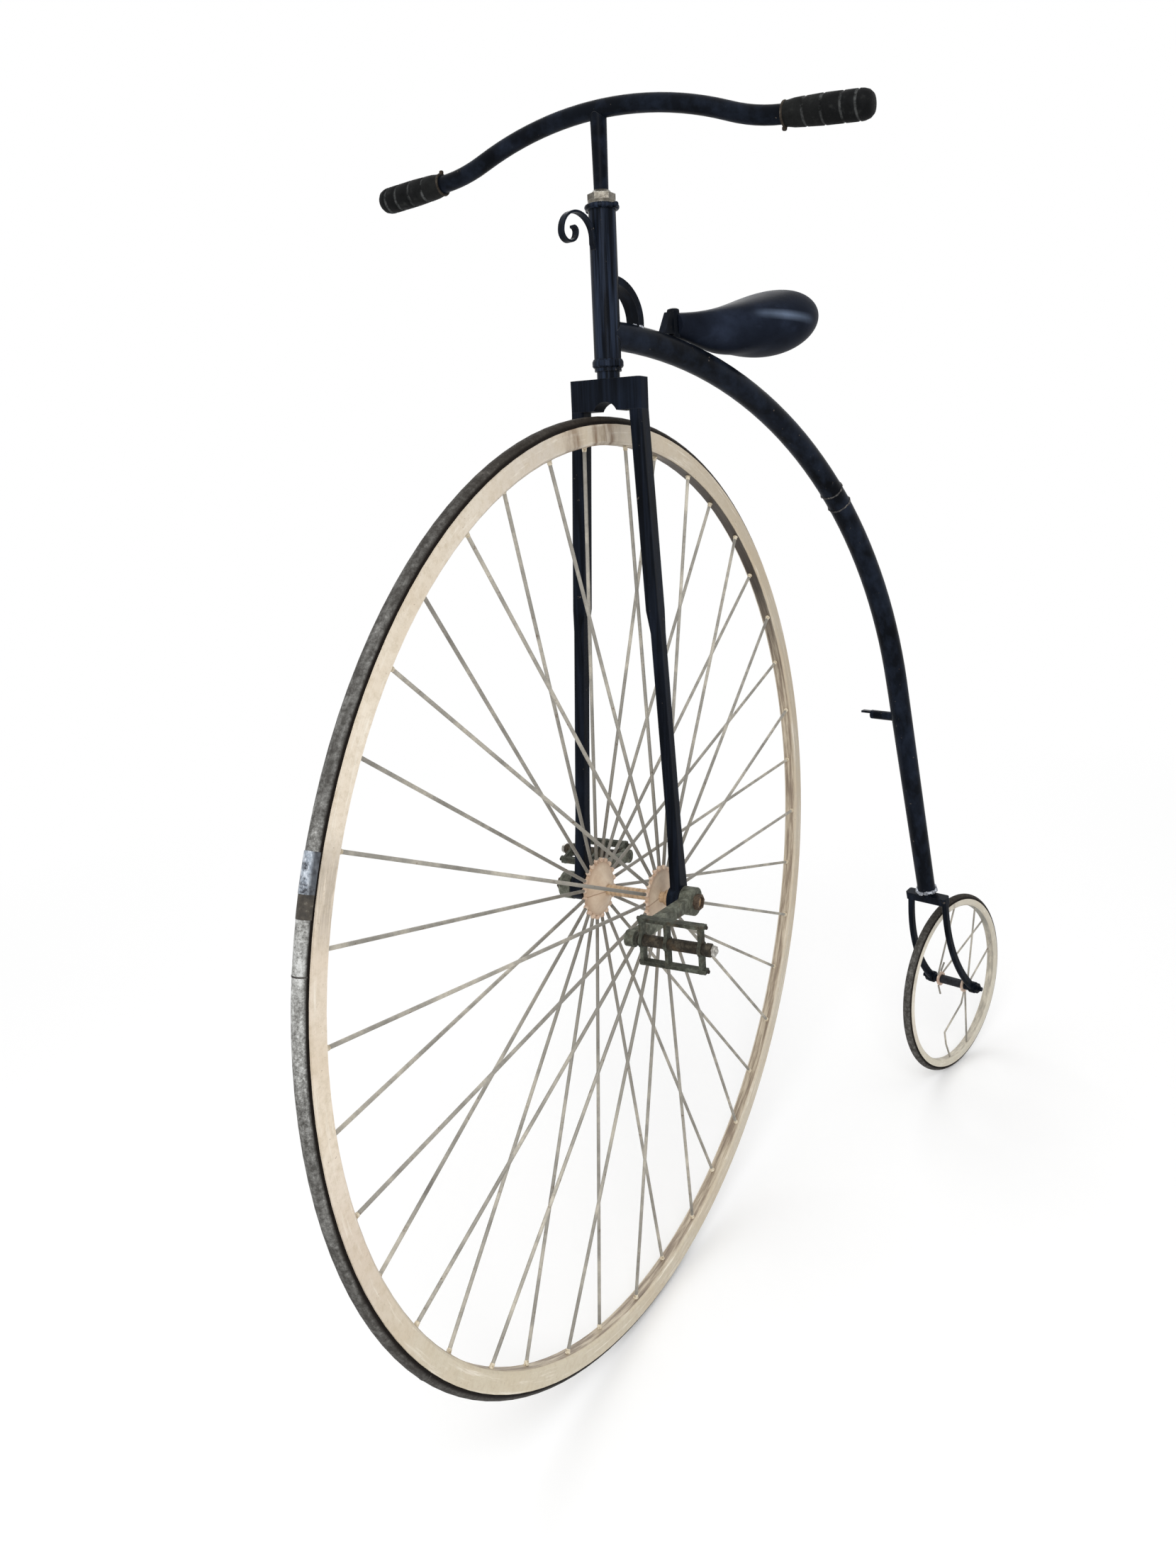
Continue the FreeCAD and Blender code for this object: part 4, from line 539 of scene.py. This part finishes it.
def bare_wire(name, place, hub_darkening):
    """Patchy paint, grey brown where it has gone, and darker for a hand's length from the hub."""
    finish = new_finish(name)
    where = spots(finish, place)
    patch = clouds(finish, where, 16.0, 1.0, 5.0, 0.7)
    rust = clouds(finish, where, 95.0, 2.0, 4.0, 0.7)
    colour = tones(finish, between(finish, patch, 0.3, 0.7),
                   (0.0, 120, 116, 109), (0.45, 155, 151, 142), (0.75, 187, 181, 168), (1.0, 210, 204, 190))
    colour = coat(finish, between(finish, rust, 0.6, 0.7, 0.0, 0.8), colour, shade(104, 84, 64))
    # darker near the hub, in patches
    by_hub = between(finish, away(finish, where, (1.0, 1.0, 1.0)), 0.3, 0.06, 0.0, hub_darkening)
    darker_by_hub = sums(finish, by_hub, between(finish, patch, 0.36, 0.56))
    colour = coat(finish, darker_by_hub, colour, shade(74, 68, 60))
    return lay(finish, colour, between(finish, patch, 0.3, 0.7, 0.5, 0.68), rust, 0.0002, 0.5, Metallic=0.25)


front_wire = bare_wire("front_wire", wheel_place, 0.8)
dress(front_wire, "front_spokes_left", "front_spokes_right")

# ---------------------------------------------------------------- driving wheel: hub
# Two flanges, cast and turned, each domed on the inside, on one long axle. Every wire's foot
# sits in a small boss on the flange's edge. The cream paint here has yellowed to salmon.

hub_paint = new_finish("hub_paint")
where = spots(hub_paint, wheel_place)
bloom = clouds(hub_paint, where, 34.0, 1.0, 5.0, 0.65)
pits = clouds(hub_paint, where, 420.0, 2.0, 3.0, 0.6)
off_axle = away(hub_paint, where, (1.0, 0.0, 1.0))
colour = tones(hub_paint, between(hub_paint, bloom, 0.3, 0.7),
               (0.0, 186, 162, 138), (0.5, 206, 184, 160), (1.0, 224, 208, 186))
rim_brown = between(hub_paint, bloom, 0.3, 0.6, 0.35, 1.0)
rim_brown = sums(hub_paint, between(hub_paint, off_axle, 0.031, 0.039), rim_brown)
colour = coat(hub_paint, rim_brown, colour, shade(176, 146, 120))
# a thin dark line across the flanges at the axle's height
line_at_axle = between(hub_paint, off_middle(hub_paint, where, 2), 0.0011, 0.0004)
colour = coat(hub_paint, sums(hub_paint, line_at_axle, 0.6), colour, shade(128, 92, 66))
colour = coat(hub_paint, between(hub_paint, pits, 0.68, 0.76, 0.0, 0.7), colour, shade(112, 82, 60))
lay(hub_paint, colour, between(hub_paint, bloom, 0.3, 0.7, 0.45, 0.65),
    sums(hub_paint, pits, line_at_axle, "SUBTRACT"), 0.0003, 0.6)
dress(hub_paint, "hub_flange_left", "hub_flange_right")

boss_paint = new_finish("boss_paint")
dabs = clouds(boss_paint, spots(boss_paint, wheel_place), 150.0, 4.0, 5.0, 0.7)
colour = tones(boss_paint, between(boss_paint, dabs, 0.3, 0.7),
               (0.0, 150, 118, 96), (0.45, 198, 172, 150), (1.0, 226, 208, 186))
lay(boss_paint, colour, between(boss_paint, dabs, 0.3, 0.7, 0.45, 0.7), dabs, 0.0003)
boss_rings = [(-0.0012, 0.0031), (0.0004, 0.0037), (0.0026, 0.0038), (0.0044, 0.0034), (0.0055, 0.00245)]
for side_name, side in sides:
    set_round(turn_up(boss_rings, 12), side, foot_aside, wire_foot)
    close_up(f"wire_bosses_{side_name}", boss_paint, "front_wheel", wheel_place)

axle_paint = new_finish("axle_paint")
where = spots(axle_paint, wheel_place)
ring_marks = clouds(axle_paint, where, 40.0, 1.0, 5.0, 0.6, (1.0, 5.0, 1.0))
rust = clouds(axle_paint, where, 130.0, 2.0, 5.0, 0.7)
colour = tones(axle_paint, between(axle_paint, ring_marks, 0.3, 0.7),
               (0.0, 140, 112, 84), (0.5, 180, 152, 120), (1.0, 206, 182, 150))
colour = coat(axle_paint, between(axle_paint, rust, 0.54, 0.66, 0.0, 0.8), colour, shade(104, 78, 54))
lay(axle_paint, colour, between(axle_paint, rust, 0.3, 0.7, 0.42, 0.72), rust, 0.0003, 0.6, Metallic=0.15)
dress(axle_paint, "front_axle")

# ---------------------------------------------------------------- cranks
# Forged arms keyed on the axle's ends and held by a nut each. What is left of their dark paint
# has weathered to a grey green. The pedals' pins are darker, and the nuts are rusty.


def weathered_iron(name, low, middle, high, wear=0.55, seed=0.0):
    """Old dark paint on iron: patchy, rusty, and bare at edges."""
    finish = new_finish(name)
    where = spots(finish)
    patch = clouds(finish, where, 75.0, seed + 1.0, 6.0, 0.75)
    fine = clouds(finish, where, 330.0, seed + 2.0, 5.0, 0.7)
    rust = clouds(finish, where, 48.0, seed + 3.0, 6.0, 0.75)
    colour = tones(finish, between(finish, patch, 0.34, 0.66), (0.0, *low), (0.5, *middle), (1.0, *high))
    colour = coat(finish, between(finish, rust, 0.54, 0.66, 0.0, 0.7), colour, shade(80, 66, 50))
    colour = coat(finish, between(finish, fine, 0.56, 0.7, 0.0, 0.7), colour, shade(58, 46, 36))
    edge = sums(finish, worn_edges(finish, 0.0011), between(finish, fine, 0.3, 0.6))
    colour = coat(finish, sums(finish, edge, wear), colour, shade(150, 150, 138))
    return lay(finish, colour, between(finish, patch, 0.3, 0.7, 0.5, 0.78), fine, 0.0005, 0.7,
               Metallic=0.15, IOR=1.2)


crank_iron = weathered_iron("crank_iron", (50, 50, 43), (90, 92, 82), (134, 137, 124))
dress(crank_iron, "crank_left", "crank_right")
pin_iron = weathered_iron("pin_iron", (28, 28, 26), (56, 56, 50), (96, 98, 90), 0.4, 5.0)
dress(pin_iron, "pedal_pin_left", "pedal_pin_right")

rusty_nut = new_finish("rusty_nut")
scab = clouds(rusty_nut, spots(rusty_nut), 120.0, 1.0, 6.0, 0.72)
colour = tones(rusty_nut, between(rusty_nut, scab, 0.3, 0.7),
               (0.0, 44, 38, 33), (0.45, 74, 61, 51), (0.75, 98, 84, 71), (1.0, 132, 126, 116))
colour = coat(rusty_nut, sums(rusty_nut, worn_edges(rusty_nut, 0.0009), 0.5), colour, shade(176, 160, 138))
lay(rusty_nut, colour, between(rusty_nut, scab, 0.3, 0.7, 0.85, 0.55), scab, 0.0005, 0.7,
    Metallic=0.2, IOR=1.25)
dress(rusty_nut, "crank_nuts")

# ---------------------------------------------------------------- pedals
# Each pedal is a barrel on the crank's pin inside a cage: end plates and a middle plate cut
# from sheet, with a bar along either edge, riveted over at the ends. A bright nut closes the
# barrel at its outer end.

crank_length, crank_lean = 0.166, math.radians(4.5)
pedal_lean = {-1: 0.0, 1: math.radians(75)}
inner_plate, outer_plate = 0.107, 0.199
bar_height = 0.0285
rivet_stand = 0.0004
nut_seat = 0.2068

pedal_iron = weathered_iron("pedal_iron", (34, 34, 30), (66, 68, 60), (104, 108, 98), 0.55, 9.0)
dress(pedal_iron, "pedal_cage_left", "pedal_cage_right")
barrel_iron = weathered_iron("barrel_iron", (24, 23, 20), (50, 46, 40), (88, 82, 70), 0.4, 14.0)
dress(barrel_iron, "pedal_barrel_left", "pedal_barrel_right")

bright_nut = new_finish("bright_nut")
dull_patch = clouds(bright_nut, spots(bright_nut), 240.0, 1.0, 5.0, 0.7)
colour = tones(bright_nut, dull_patch, (0.3, 104, 100, 92), (0.55, 176, 174, 168), (0.7, 214, 212, 206))
lay(bright_nut, colour, between(bright_nut, dull_patch, 0.3, 0.7, 0.5, 0.3), dull_patch,
    0.0002, 0.5, Metallic=0.6)

nut_rings = [(0.0, 0.0072), (0.0035, 0.0072), (0.0041, 0.0066),
             (0.0041, 0.0035), (0.006, 0.0033), (0.0066, 0.0024)]
rivet_rings = [(0.0, 0.0027), (0.0009, 0.0025), (0.0016, 0.0017), (0.0019, 0.0006)]


def facing(side):
    """Turned to point sideways, away from the wheel."""
    return Matrix.Rotation(-side * math.pi / 2, 4, "X")


for side_name, side in sides:
    pin_at = Vector((math.cos(crank_lean), 0.0, -math.sin(crank_lean))) * side * crank_length
    on_pin = Matrix.Translation(pin_at) @ Matrix.Rotation(pedal_lean[side], 4, "Y")
    made = turn_up(nut_rings, 6)
    apply("BEVEL", width=0.0003, segments=2, limit_method="ANGLE")
    made.data.transform(on_pin @ Matrix.Translation((0.0, side * nut_seat, 0.0)) @ facing(side))
    close_up(f"pedal_nut_{side_name}", bright_nut, f"{side_name}_pedal", wheel_place, 30.0)
    rivets = []
    for out, plate in ((-1, inner_plate), (1, outer_plate)):
        for high in (-bar_height, bar_height):
            made = turn_up(rivet_rings, 10)
            rivet_at = Matrix.Translation((0.0, side * (plate + out * rivet_stand), high))
            made.data.transform(on_pin @ rivet_at @ facing(side * out))
            rivets.append(made)
    join_up(rivets)
    close_up(f"pedal_rivets_{side_name}", barrel_iron, f"{side_name}_pedal", wheel_place)

# ---------------------------------------------------------------- fork, steerer and head
# Two flat blades under a forged crown, a neck and a raked head tube, all in one blue black
# enamel: glossy where it is round, duller and brushed on the crown, chipped pale at the edges.
# The dust ring on top of the head has a small ear on each side.

head_top = 0.9005
ear_aside, ear_up = 0.0235, 0.0035


def black_enamel(name, gloss, place, chips=0.68, seed=0.0, lift=0.0, run=(3.0, 3.0, 0.12)):
    """Blue black enamel with brush marks, small pale chips, dust, and worn edges."""
    finish = new_finish(name)
    where = spots(finish, place)
    wide = clouds(finish, where, 9.0, seed + 1.0, 4.0, 0.6)
    fine = clouds(finish, where, 210.0, seed + 2.0, 5.0, 0.7)
    brush = clouds(finish, where, 60.0, seed + 3.0, 4.0, 0.6, run)
    peck = clouds(finish, where, 130.0, seed + 4.0, 3.0, 0.55)
    colour = tones(finish, between(finish, wide, 0.3, 0.7),
                   (0.0, 5, 7, 11), (0.6, 11, 15, 22), (1.0, 19, 25, 36))
    colour = coat(finish, between(finish, brush, 0.43, 0.75, 0.0, 0.35 + lift), colour, shade(44, 53, 70))
    colour = coat(finish, between(finish, fine, 0.66, 0.76, 0.0, 0.25), colour, shade(60, 66, 76))
    chipped = between(finish, peck, chips, chips + 0.04)
    colour = coat(finish, sums(finish, chipped, 0.7), colour, shade(96, 88, 80))
    edge = sums(finish, worn_edges(finish, 0.0009, 0.05, 0.4), between(finish, fine, 0.35, 0.6))
    colour = coat(finish, sums(finish, edge, 0.5), colour, shade(88, 88, 90))
    rough = between(finish, brush, 0.3, 0.7, gloss, gloss + 0.16)
    rough = sums(finish, rough, sums(finish, chipped, 0.3), "ADD")
    grain = sums(finish, fine, sums(finish, brush, 1.4), "ADD")
    return lay(finish, colour, rough, grain, 0.00016, 0.5, IOR=1.13)


dress(black_enamel("blade_black", 0.32, fork_place), "fork_leg_left", "fork_leg_right")
dress(black_enamel("crown_black", 0.5, fork_place, 0.72, 7.0), "fork_crown")
head_black = black_enamel("head_black", 0.26, head_place, 0.7, 13.0, 0.9)
dress(head_black, "head_tube", "head_cap_ring", "steerer")

for side_name, side in sides:
    start()
    bpy.ops.mesh.primitive_cylinder_add(vertices=16, radius=0.0032, depth=0.0062)
    bpy.ops.object.mode_set(mode="EDIT")
    pick(lambda middle: middle.z > 0.003, "faces")
    bpy.ops.mesh.inset(thickness=0.0009)
    bpy.ops.transform.translate(value=(0.0, 0.0, 0.0008))
    bpy.ops.object.mode_set(mode="OBJECT")
    ear_at = Matrix.Translation((0.0, side * ear_aside, head_top + ear_up))
    bpy.context.object.data.transform(ear_at @ facing(side))
    apply("BEVEL", width=0.0004, segments=2, limit_method="ANGLE")
    close_up(f"ring_ear_{side_name}", head_black, "frame", head_place)

# ---------------------------------------------------------------- lock nut
# A turned and filed nut of bare steel that holds the steering in the head: a round flange,
# flats for the spanner and a narrower collar above. It is tarnished, and bright at its edges.

nut_steel = new_finish("nut_steel")
where = spots(nut_steel, fork_place)
tarnish = clouds(nut_steel, where, 90.0, 1.0, 6.0, 0.7)
tool_marks = clouds(nut_steel, where, 60.0, 2.0, 3.0, 0.5, (1.0, 1.0, 14.0))
colour = tones(nut_steel, between(nut_steel, tarnish, 0.16, 0.84),
               (0.0, 44, 41, 36), (0.45, 88, 83, 74), (1.0, 150, 146, 136))
colour = coat(nut_steel, worn_edges(nut_steel, 0.0009), colour, shade(206, 204, 196))
lay(nut_steel, colour, between(nut_steel, tarnish, 0.3, 0.7, 0.42, 0.2), tool_marks,
    0.0002, 0.5, Metallic=0.65)
dress(nut_steel, "lock_nut")

# ---------------------------------------------------------------- stem and handlebar
# A tapered post from the lock nut up to one bent tube, brazed under its middle. Both are in the
# same black enamel, and the bar stands a little off square to the wheel.

bar_turn = math.radians(-2.4)
bar_place = fork_place @ Matrix.Rotation(bar_turn, 4, "Z")
bar_black = black_enamel("bar_black", 0.3, bar_place, 0.69, 21.0, 0.1, (1.0, 0.6, 0.6))
dress(bar_black, "handlebar_stem", "handlebar")

# ---------------------------------------------------------------- grips
# Hard black moulded grips with turned grooves and a rounded end, worn grey at the hand's heel,
# each held at its inner end by a clip of dark wire with a small knob.

grip_start, grip_height, grip_droop = 0.24982, 0.96989, math.radians(4.3)
grip_neck, grip_wide = 0.016, 0.0156
swell, swell_length = 0.0014, 0.03
groove_places = (0.030, 0.0525, 0.076, 0.094)
groove_half, groove_floor, groove_deep = 0.0022, 0.0012, 0.0009
clip_up, clip_radius, knob_out = 0.0035, 0.0133, 0.0135

grip_black = new_finish("grip_black")
where = spots(grip_black, bar_place)
scuff = clouds(grip_black, where, 70.0, 1.0, 6.0, 0.7)
dust = clouds(grip_black, where, 380.0, 2.0, 4.0, 0.7)
from_middle = off_middle(grip_black, where, 1)
colour = tones(grip_black, between(grip_black, scuff, 0.3, 0.72),
               (0.0, 7, 8, 9), (0.6, 19, 20, 21), (1.0, 46, 47, 46))
heel = between(grip_black, scuff, 0.32, 0.6, 0.35, 1.0)
heel = sums(grip_black, between(grip_black, from_middle, 0.315, 0.262), heel)
colour = coat(grip_black, sums(grip_black, heel, 0.3), colour, shade(48, 49, 47))
grooves = 0.0
for groove in groove_places:
    off_groove = sums(grip_black, from_middle, grip_start + groove, "SUBTRACT")
    off_groove = sums(grip_black, off_groove, 0.0, "ABSOLUTE")
    grooves = sums(grip_black, grooves, between(grip_black, off_groove, 0.0021, 0.0009), "MAXIMUM")
grooves = sums(grip_black, grooves, between(grip_black, scuff, 0.42, 0.62, 0.0, 0.8))
colour = coat(grip_black, grooves, colour, shade(92, 94, 94))
lay(grip_black, colour, between(grip_black, scuff, 0.3, 0.7, 0.42, 0.72),
    sums(grip_black, dust, scuff, "ADD"), 0.0006, 0.7, IOR=1.14)

clip_iron = weathered_iron("clip_iron", (30, 27, 24), (54, 48, 42), (84, 78, 70), 0.4, 30.0)
grip_rings = [(0.0022, 0.0113), (0.002, 0.0129), (0.005, 0.0138), (grip_neck, grip_wide)]
for groove in groove_places:
    full = grip_wide + swell * min(1.0, (groove - grip_neck) / swell_length)
    grip_rings += [(groove - groove_half, full), (groove - groove_floor, full - groove_deep)]
    grip_rings += [(groove + groove_floor, full - groove_deep), (groove + groove_half, full)]
grip_rings += [(0.1, 0.0166), (0.1055, 0.0149), (0.1092, 0.0116), (0.1106, 0.0066), (0.111, 0.0008)]
knob_rings = [(0.0, 0.0024), (0.0012, 0.003), (0.0036, 0.003), (0.0046, 0.002)]
for side_name, side in sides:
    on_bar = (bar_place @ Matrix.Translation((0.0, side * grip_start, grip_height))
              @ Matrix.Rotation(-side * (math.pi / 2 + grip_droop), 4, "X"))
    turn_up(grip_rings, 40)
    grip = close_up(f"moulded_grip_{side_name}", grip_black, "steering", on_bar, 50.0)
    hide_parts(f"grip_{side_name}")
    start()
    bpy.ops.mesh.primitive_torus_add(
        major_radius=clip_radius, minor_radius=0.0016, major_segments=40, minor_segments=10)
    ring = bpy.context.object
    ring.data.transform(Matrix.Translation((0.0, 0.0, clip_up)))
    knob = turn_up(knob_rings, 12)
    knob.data.transform(Matrix.Translation((0.0, 0.0, clip_up)) @ Matrix.Rotation(math.pi / 2, 4, "X")
                        @ Matrix.Translation((0.0, 0.0, knob_out)))
    join_up([ring, knob])
    close_up(f"grip_clip_{side_name}", clip_iron, "steering", on_bar)

# ---------------------------------------------------------------- scroll, brace and backbone
# A strip of iron rolled into a scroll up the front of the head, a flat brace behind it, and the
# backbone: one tube bent round the wheel, with a peg to mount by. Two rough welds patch the
# tube halfway down its bend, and a bare one holds the brace's foot.

spine_middle, spine_radius = Vector((-0.0114, 0.0, 0.0219)), 0.7286
spine_weld_angles = (42.6, 40.2)
brace_foot = Matrix.Translation((-0.2413, 0.0, -0.0438))

spine_black = black_enamel("spine_black", 0.27, straight, 0.68, 31.0, 0.15, (0.5, 1.0, 0.4))
dress(spine_black, "backbone", "head_brace", "head_scroll", "step_peg")

weld_black = new_finish("weld_black")
where = spots(weld_black)
lumps = clouds(weld_black, where, 150.0, 1.0, 4.0, 0.6)
spatter = clouds(weld_black, where, 420.0, 2.0, 3.0, 0.6)
colour = tones(weld_black, between(weld_black, spatter, 0.35, 0.7),
               (0.0, 20, 20, 24), (0.6, 58, 56, 56), (1.0, 150, 142, 132))
lay(weld_black, colour, between(weld_black, lumps, 0.3, 0.7, 0.4, 0.75),
    sums(weld_black, lumps, spatter, "ADD"), 0.0008, 0.8, Metallic=0.2)

weld_bright = new_finish("weld_bright")
lumps = clouds(weld_bright, spots(weld_bright), 170.0, 3.0, 4.0, 0.6)
colour = tones(weld_bright, between(weld_bright, lumps, 0.32, 0.68),
               (0.0, 58, 58, 62), (0.5, 142, 146, 154), (1.0, 226, 230, 238))
lay(weld_bright, colour, between(weld_bright, lumps, 0.3, 0.7, 0.5, 0.25), lumps, 0.0008, 0.8, Metallic=0.5)


def weld_bead(name, finish, place, radius, thick, waves, squash=1.0, droop=0.0):
    """A lumpy bead round a joint: a ring whose thickness rises and falls as the rod was moved."""
    start()
    bpy.ops.mesh.primitive_torus_add(
        major_radius=radius, minor_radius=thick, major_segments=96, minor_segments=10)
    for corner in bpy.context.object.data.vertices:
        angle = math.atan2(corner.co.y, corner.co.x)
        on_ring = Vector((math.cos(angle), math.sin(angle), 0.0)) * radius
        swell = 1.0 + 0.22 * math.sin(waves * angle) + 0.14 * math.sin(2.7 * waves * angle + 1.0)
        aside = Vector((0.0, 0.0, thick * 0.35 * math.sin(3 * angle + waves)))
        corner.co = on_ring + (corner.co - on_ring) * swell + aside
        corner.co.x *= squash
        corner.co.z -= droop * corner.co.y ** 2
    return close_up(name, finish, "frame", place)


for number, angle in enumerate(spine_weld_angles):
    lie = math.radians(angle)
    weld_at = spine_middle + spine_radius * Vector((math.cos(lie), 0.0, math.sin(lie)))
    across_tube = straight @ Matrix.Translation(weld_at) @ Matrix.Rotation(-lie, 4, "Y")
    weld_name = f"spine_weld_{number + 1}"
    weld_bead(weld_name, weld_black, across_tube,
              radius=0.0183, thick=0.0014, waves=11 + 3 * number)
weld_bead("brace_weld", weld_bright, brace_foot,
          radius=0.0112, thick=0.0019, waves=8, squash=0.5, droop=26.0)

# ---------------------------------------------------------------- saddle
# A hard pear-shaped seat, polished black, bolted through its nose to a post on the backbone.
# A pale highlight is painted in a line along each side.

seat_black = new_finish("seat_black")
where = spots(seat_black)
hide = put(seat_black, "ShaderNodeTexVoronoi", {"Vector": where, "Scale": 620.0, "Randomness": 1.0})
haze = clouds(seat_black, where, 14.0, 1.0, 5.0, 0.6)
scratch = clouds(seat_black, where, 90.0, 2.0, 5.0, 0.7, (0.25, 1.0, 1.0))
colour = tones(seat_black, between(seat_black, haze, 0.3, 0.7),
               (0.0, 18, 21, 29), (0.6, 28, 33, 44), (1.0, 40, 47, 62))
colour = coat(seat_black, between(seat_black, scratch, 0.6, 0.76, 0.0, 0.35), colour, shade(56, 62, 78))
along, across, high = put(seat_black, "ShaderNodeSeparateXYZ", {0: where}).outputs
# painted highlight: a pale line along each side, fading towards the nose and the rear
crease_highlight = sums(seat_black, sums(seat_black, along, 0.11), sums(seat_black, high, 0.034, "ADD"), "ADD")
crease_highlight = between(seat_black, sums(seat_black, crease_highlight, 0.0, "ABSOLUTE"), 0.0085, 0.0005)
crease_highlight = sums(seat_black, crease_highlight, band(seat_black, along, -0.06, -0.012, 0.006, 0.058))
crease_highlight = sums(seat_black, crease_highlight, between(seat_black, sums(seat_black, across, 0.0, "ABSOLUTE"), 0.04, 0.056))
crease_highlight = sums(seat_black, crease_highlight, between(seat_black, haze, 0.3, 0.6, 0.35, 0.7))
colour = coat(seat_black, crease_highlight, colour, shade(112, 126, 148))
lay(seat_black, colour, between(seat_black, haze, 0.3, 0.7, 0.34, 0.46),
    sums(seat_black, hide.outputs["Distance"], sums(seat_black, scratch, 0.6), "ADD"), 0.0001, 0.35, IOR=1.05)
dress(seat_black, "saddle")
dress(spine_black, "saddle_bracket", "saddle_bolt")

# ---------------------------------------------------------------- rear fork
# A forged plate brazed to the backbone's foot with two curved flat legs, each with an eye for
# the axle, all black. Bare weld shows silvery where the plate meets the tube.

spine_foot = Matrix.Translation((0.7868, 0.0, -0.247))
foot_lean = math.radians(11.5)
weld_sunk = 0.0012
leg_black = black_enamel("leg_black", 0.32, straight, 0.68, 41.0)
dress(leg_black, "rear_crown", "rear_leg_left", "rear_leg_right", "rear_axle_nuts", "rear_axle")
at_foot = straight @ spine_foot @ Matrix.Rotation(-foot_lean, 4, "Y")
at_foot = at_foot @ Matrix.Translation((0.0, 0.0, -weld_sunk))
weld_bead("foot_weld", weld_bright, at_foot, radius=0.0166, thick=0.0034, waves=9)

# ---------------------------------------------------------------- rear wheel
# A small copy of the driving wheel on a fixed axle, its paint greyer. Most of its wires are
# gone and one that is left is bent. The hub is black between two flanges of faded salmon.

rear_tread, rear_thick = 0.176, 0.016
rear_rim_inside = 0.154
rear_place = Matrix.Translation(Vector(frame["joints"][4]["pos_m"]))
rear_rubber = rubber_tyre("rear_rubber", rear_place, rear_tread, rear_thick, [
    (0.0, 0.05), (0.3, 0.25), (0.5, 0.15), (0.7, 0.35), (0.85, 0.35), (0.95, 0.1), (1.0, 0.05)])
dress(rear_rubber, "rear_tyre")
dress(cream_enamel("rear_cream", rear_place, rear_rim_inside, 0.75, 0.35), "rear_rim")
dress(bare_wire("rear_wire", rear_place, 0.0), "rear_spokes")

rear_hub_paint = new_finish("rear_hub_paint")
where = spots(rear_hub_paint, rear_place)
chalk = clouds(rear_hub_paint, where, 160.0, 1.0, 5.0, 0.7)
outward = between(rear_hub_paint, away(rear_hub_paint, where, (1.0, 0.0, 1.0)), 0.0082, 0.009)
sideways = between(rear_hub_paint, off_middle(rear_hub_paint, where, 1), 0.0236, 0.0242)
pale = tones(rear_hub_paint, chalk, (0.35, 184, 152, 134), (0.6, 222, 202, 184))
dark = tones(rear_hub_paint, chalk, (0.35, 12, 14, 19), (0.65, 44, 46, 52))
colour = coat(rear_hub_paint, sums(rear_hub_paint, sideways, outward), dark, pale)
lay(rear_hub_paint, colour, between(rear_hub_paint, chalk, 0.3, 0.7, 0.45, 0.7), chalk, 0.0003, 0.6, IOR=1.3)
dress(rear_hub_paint, "rear_hub")
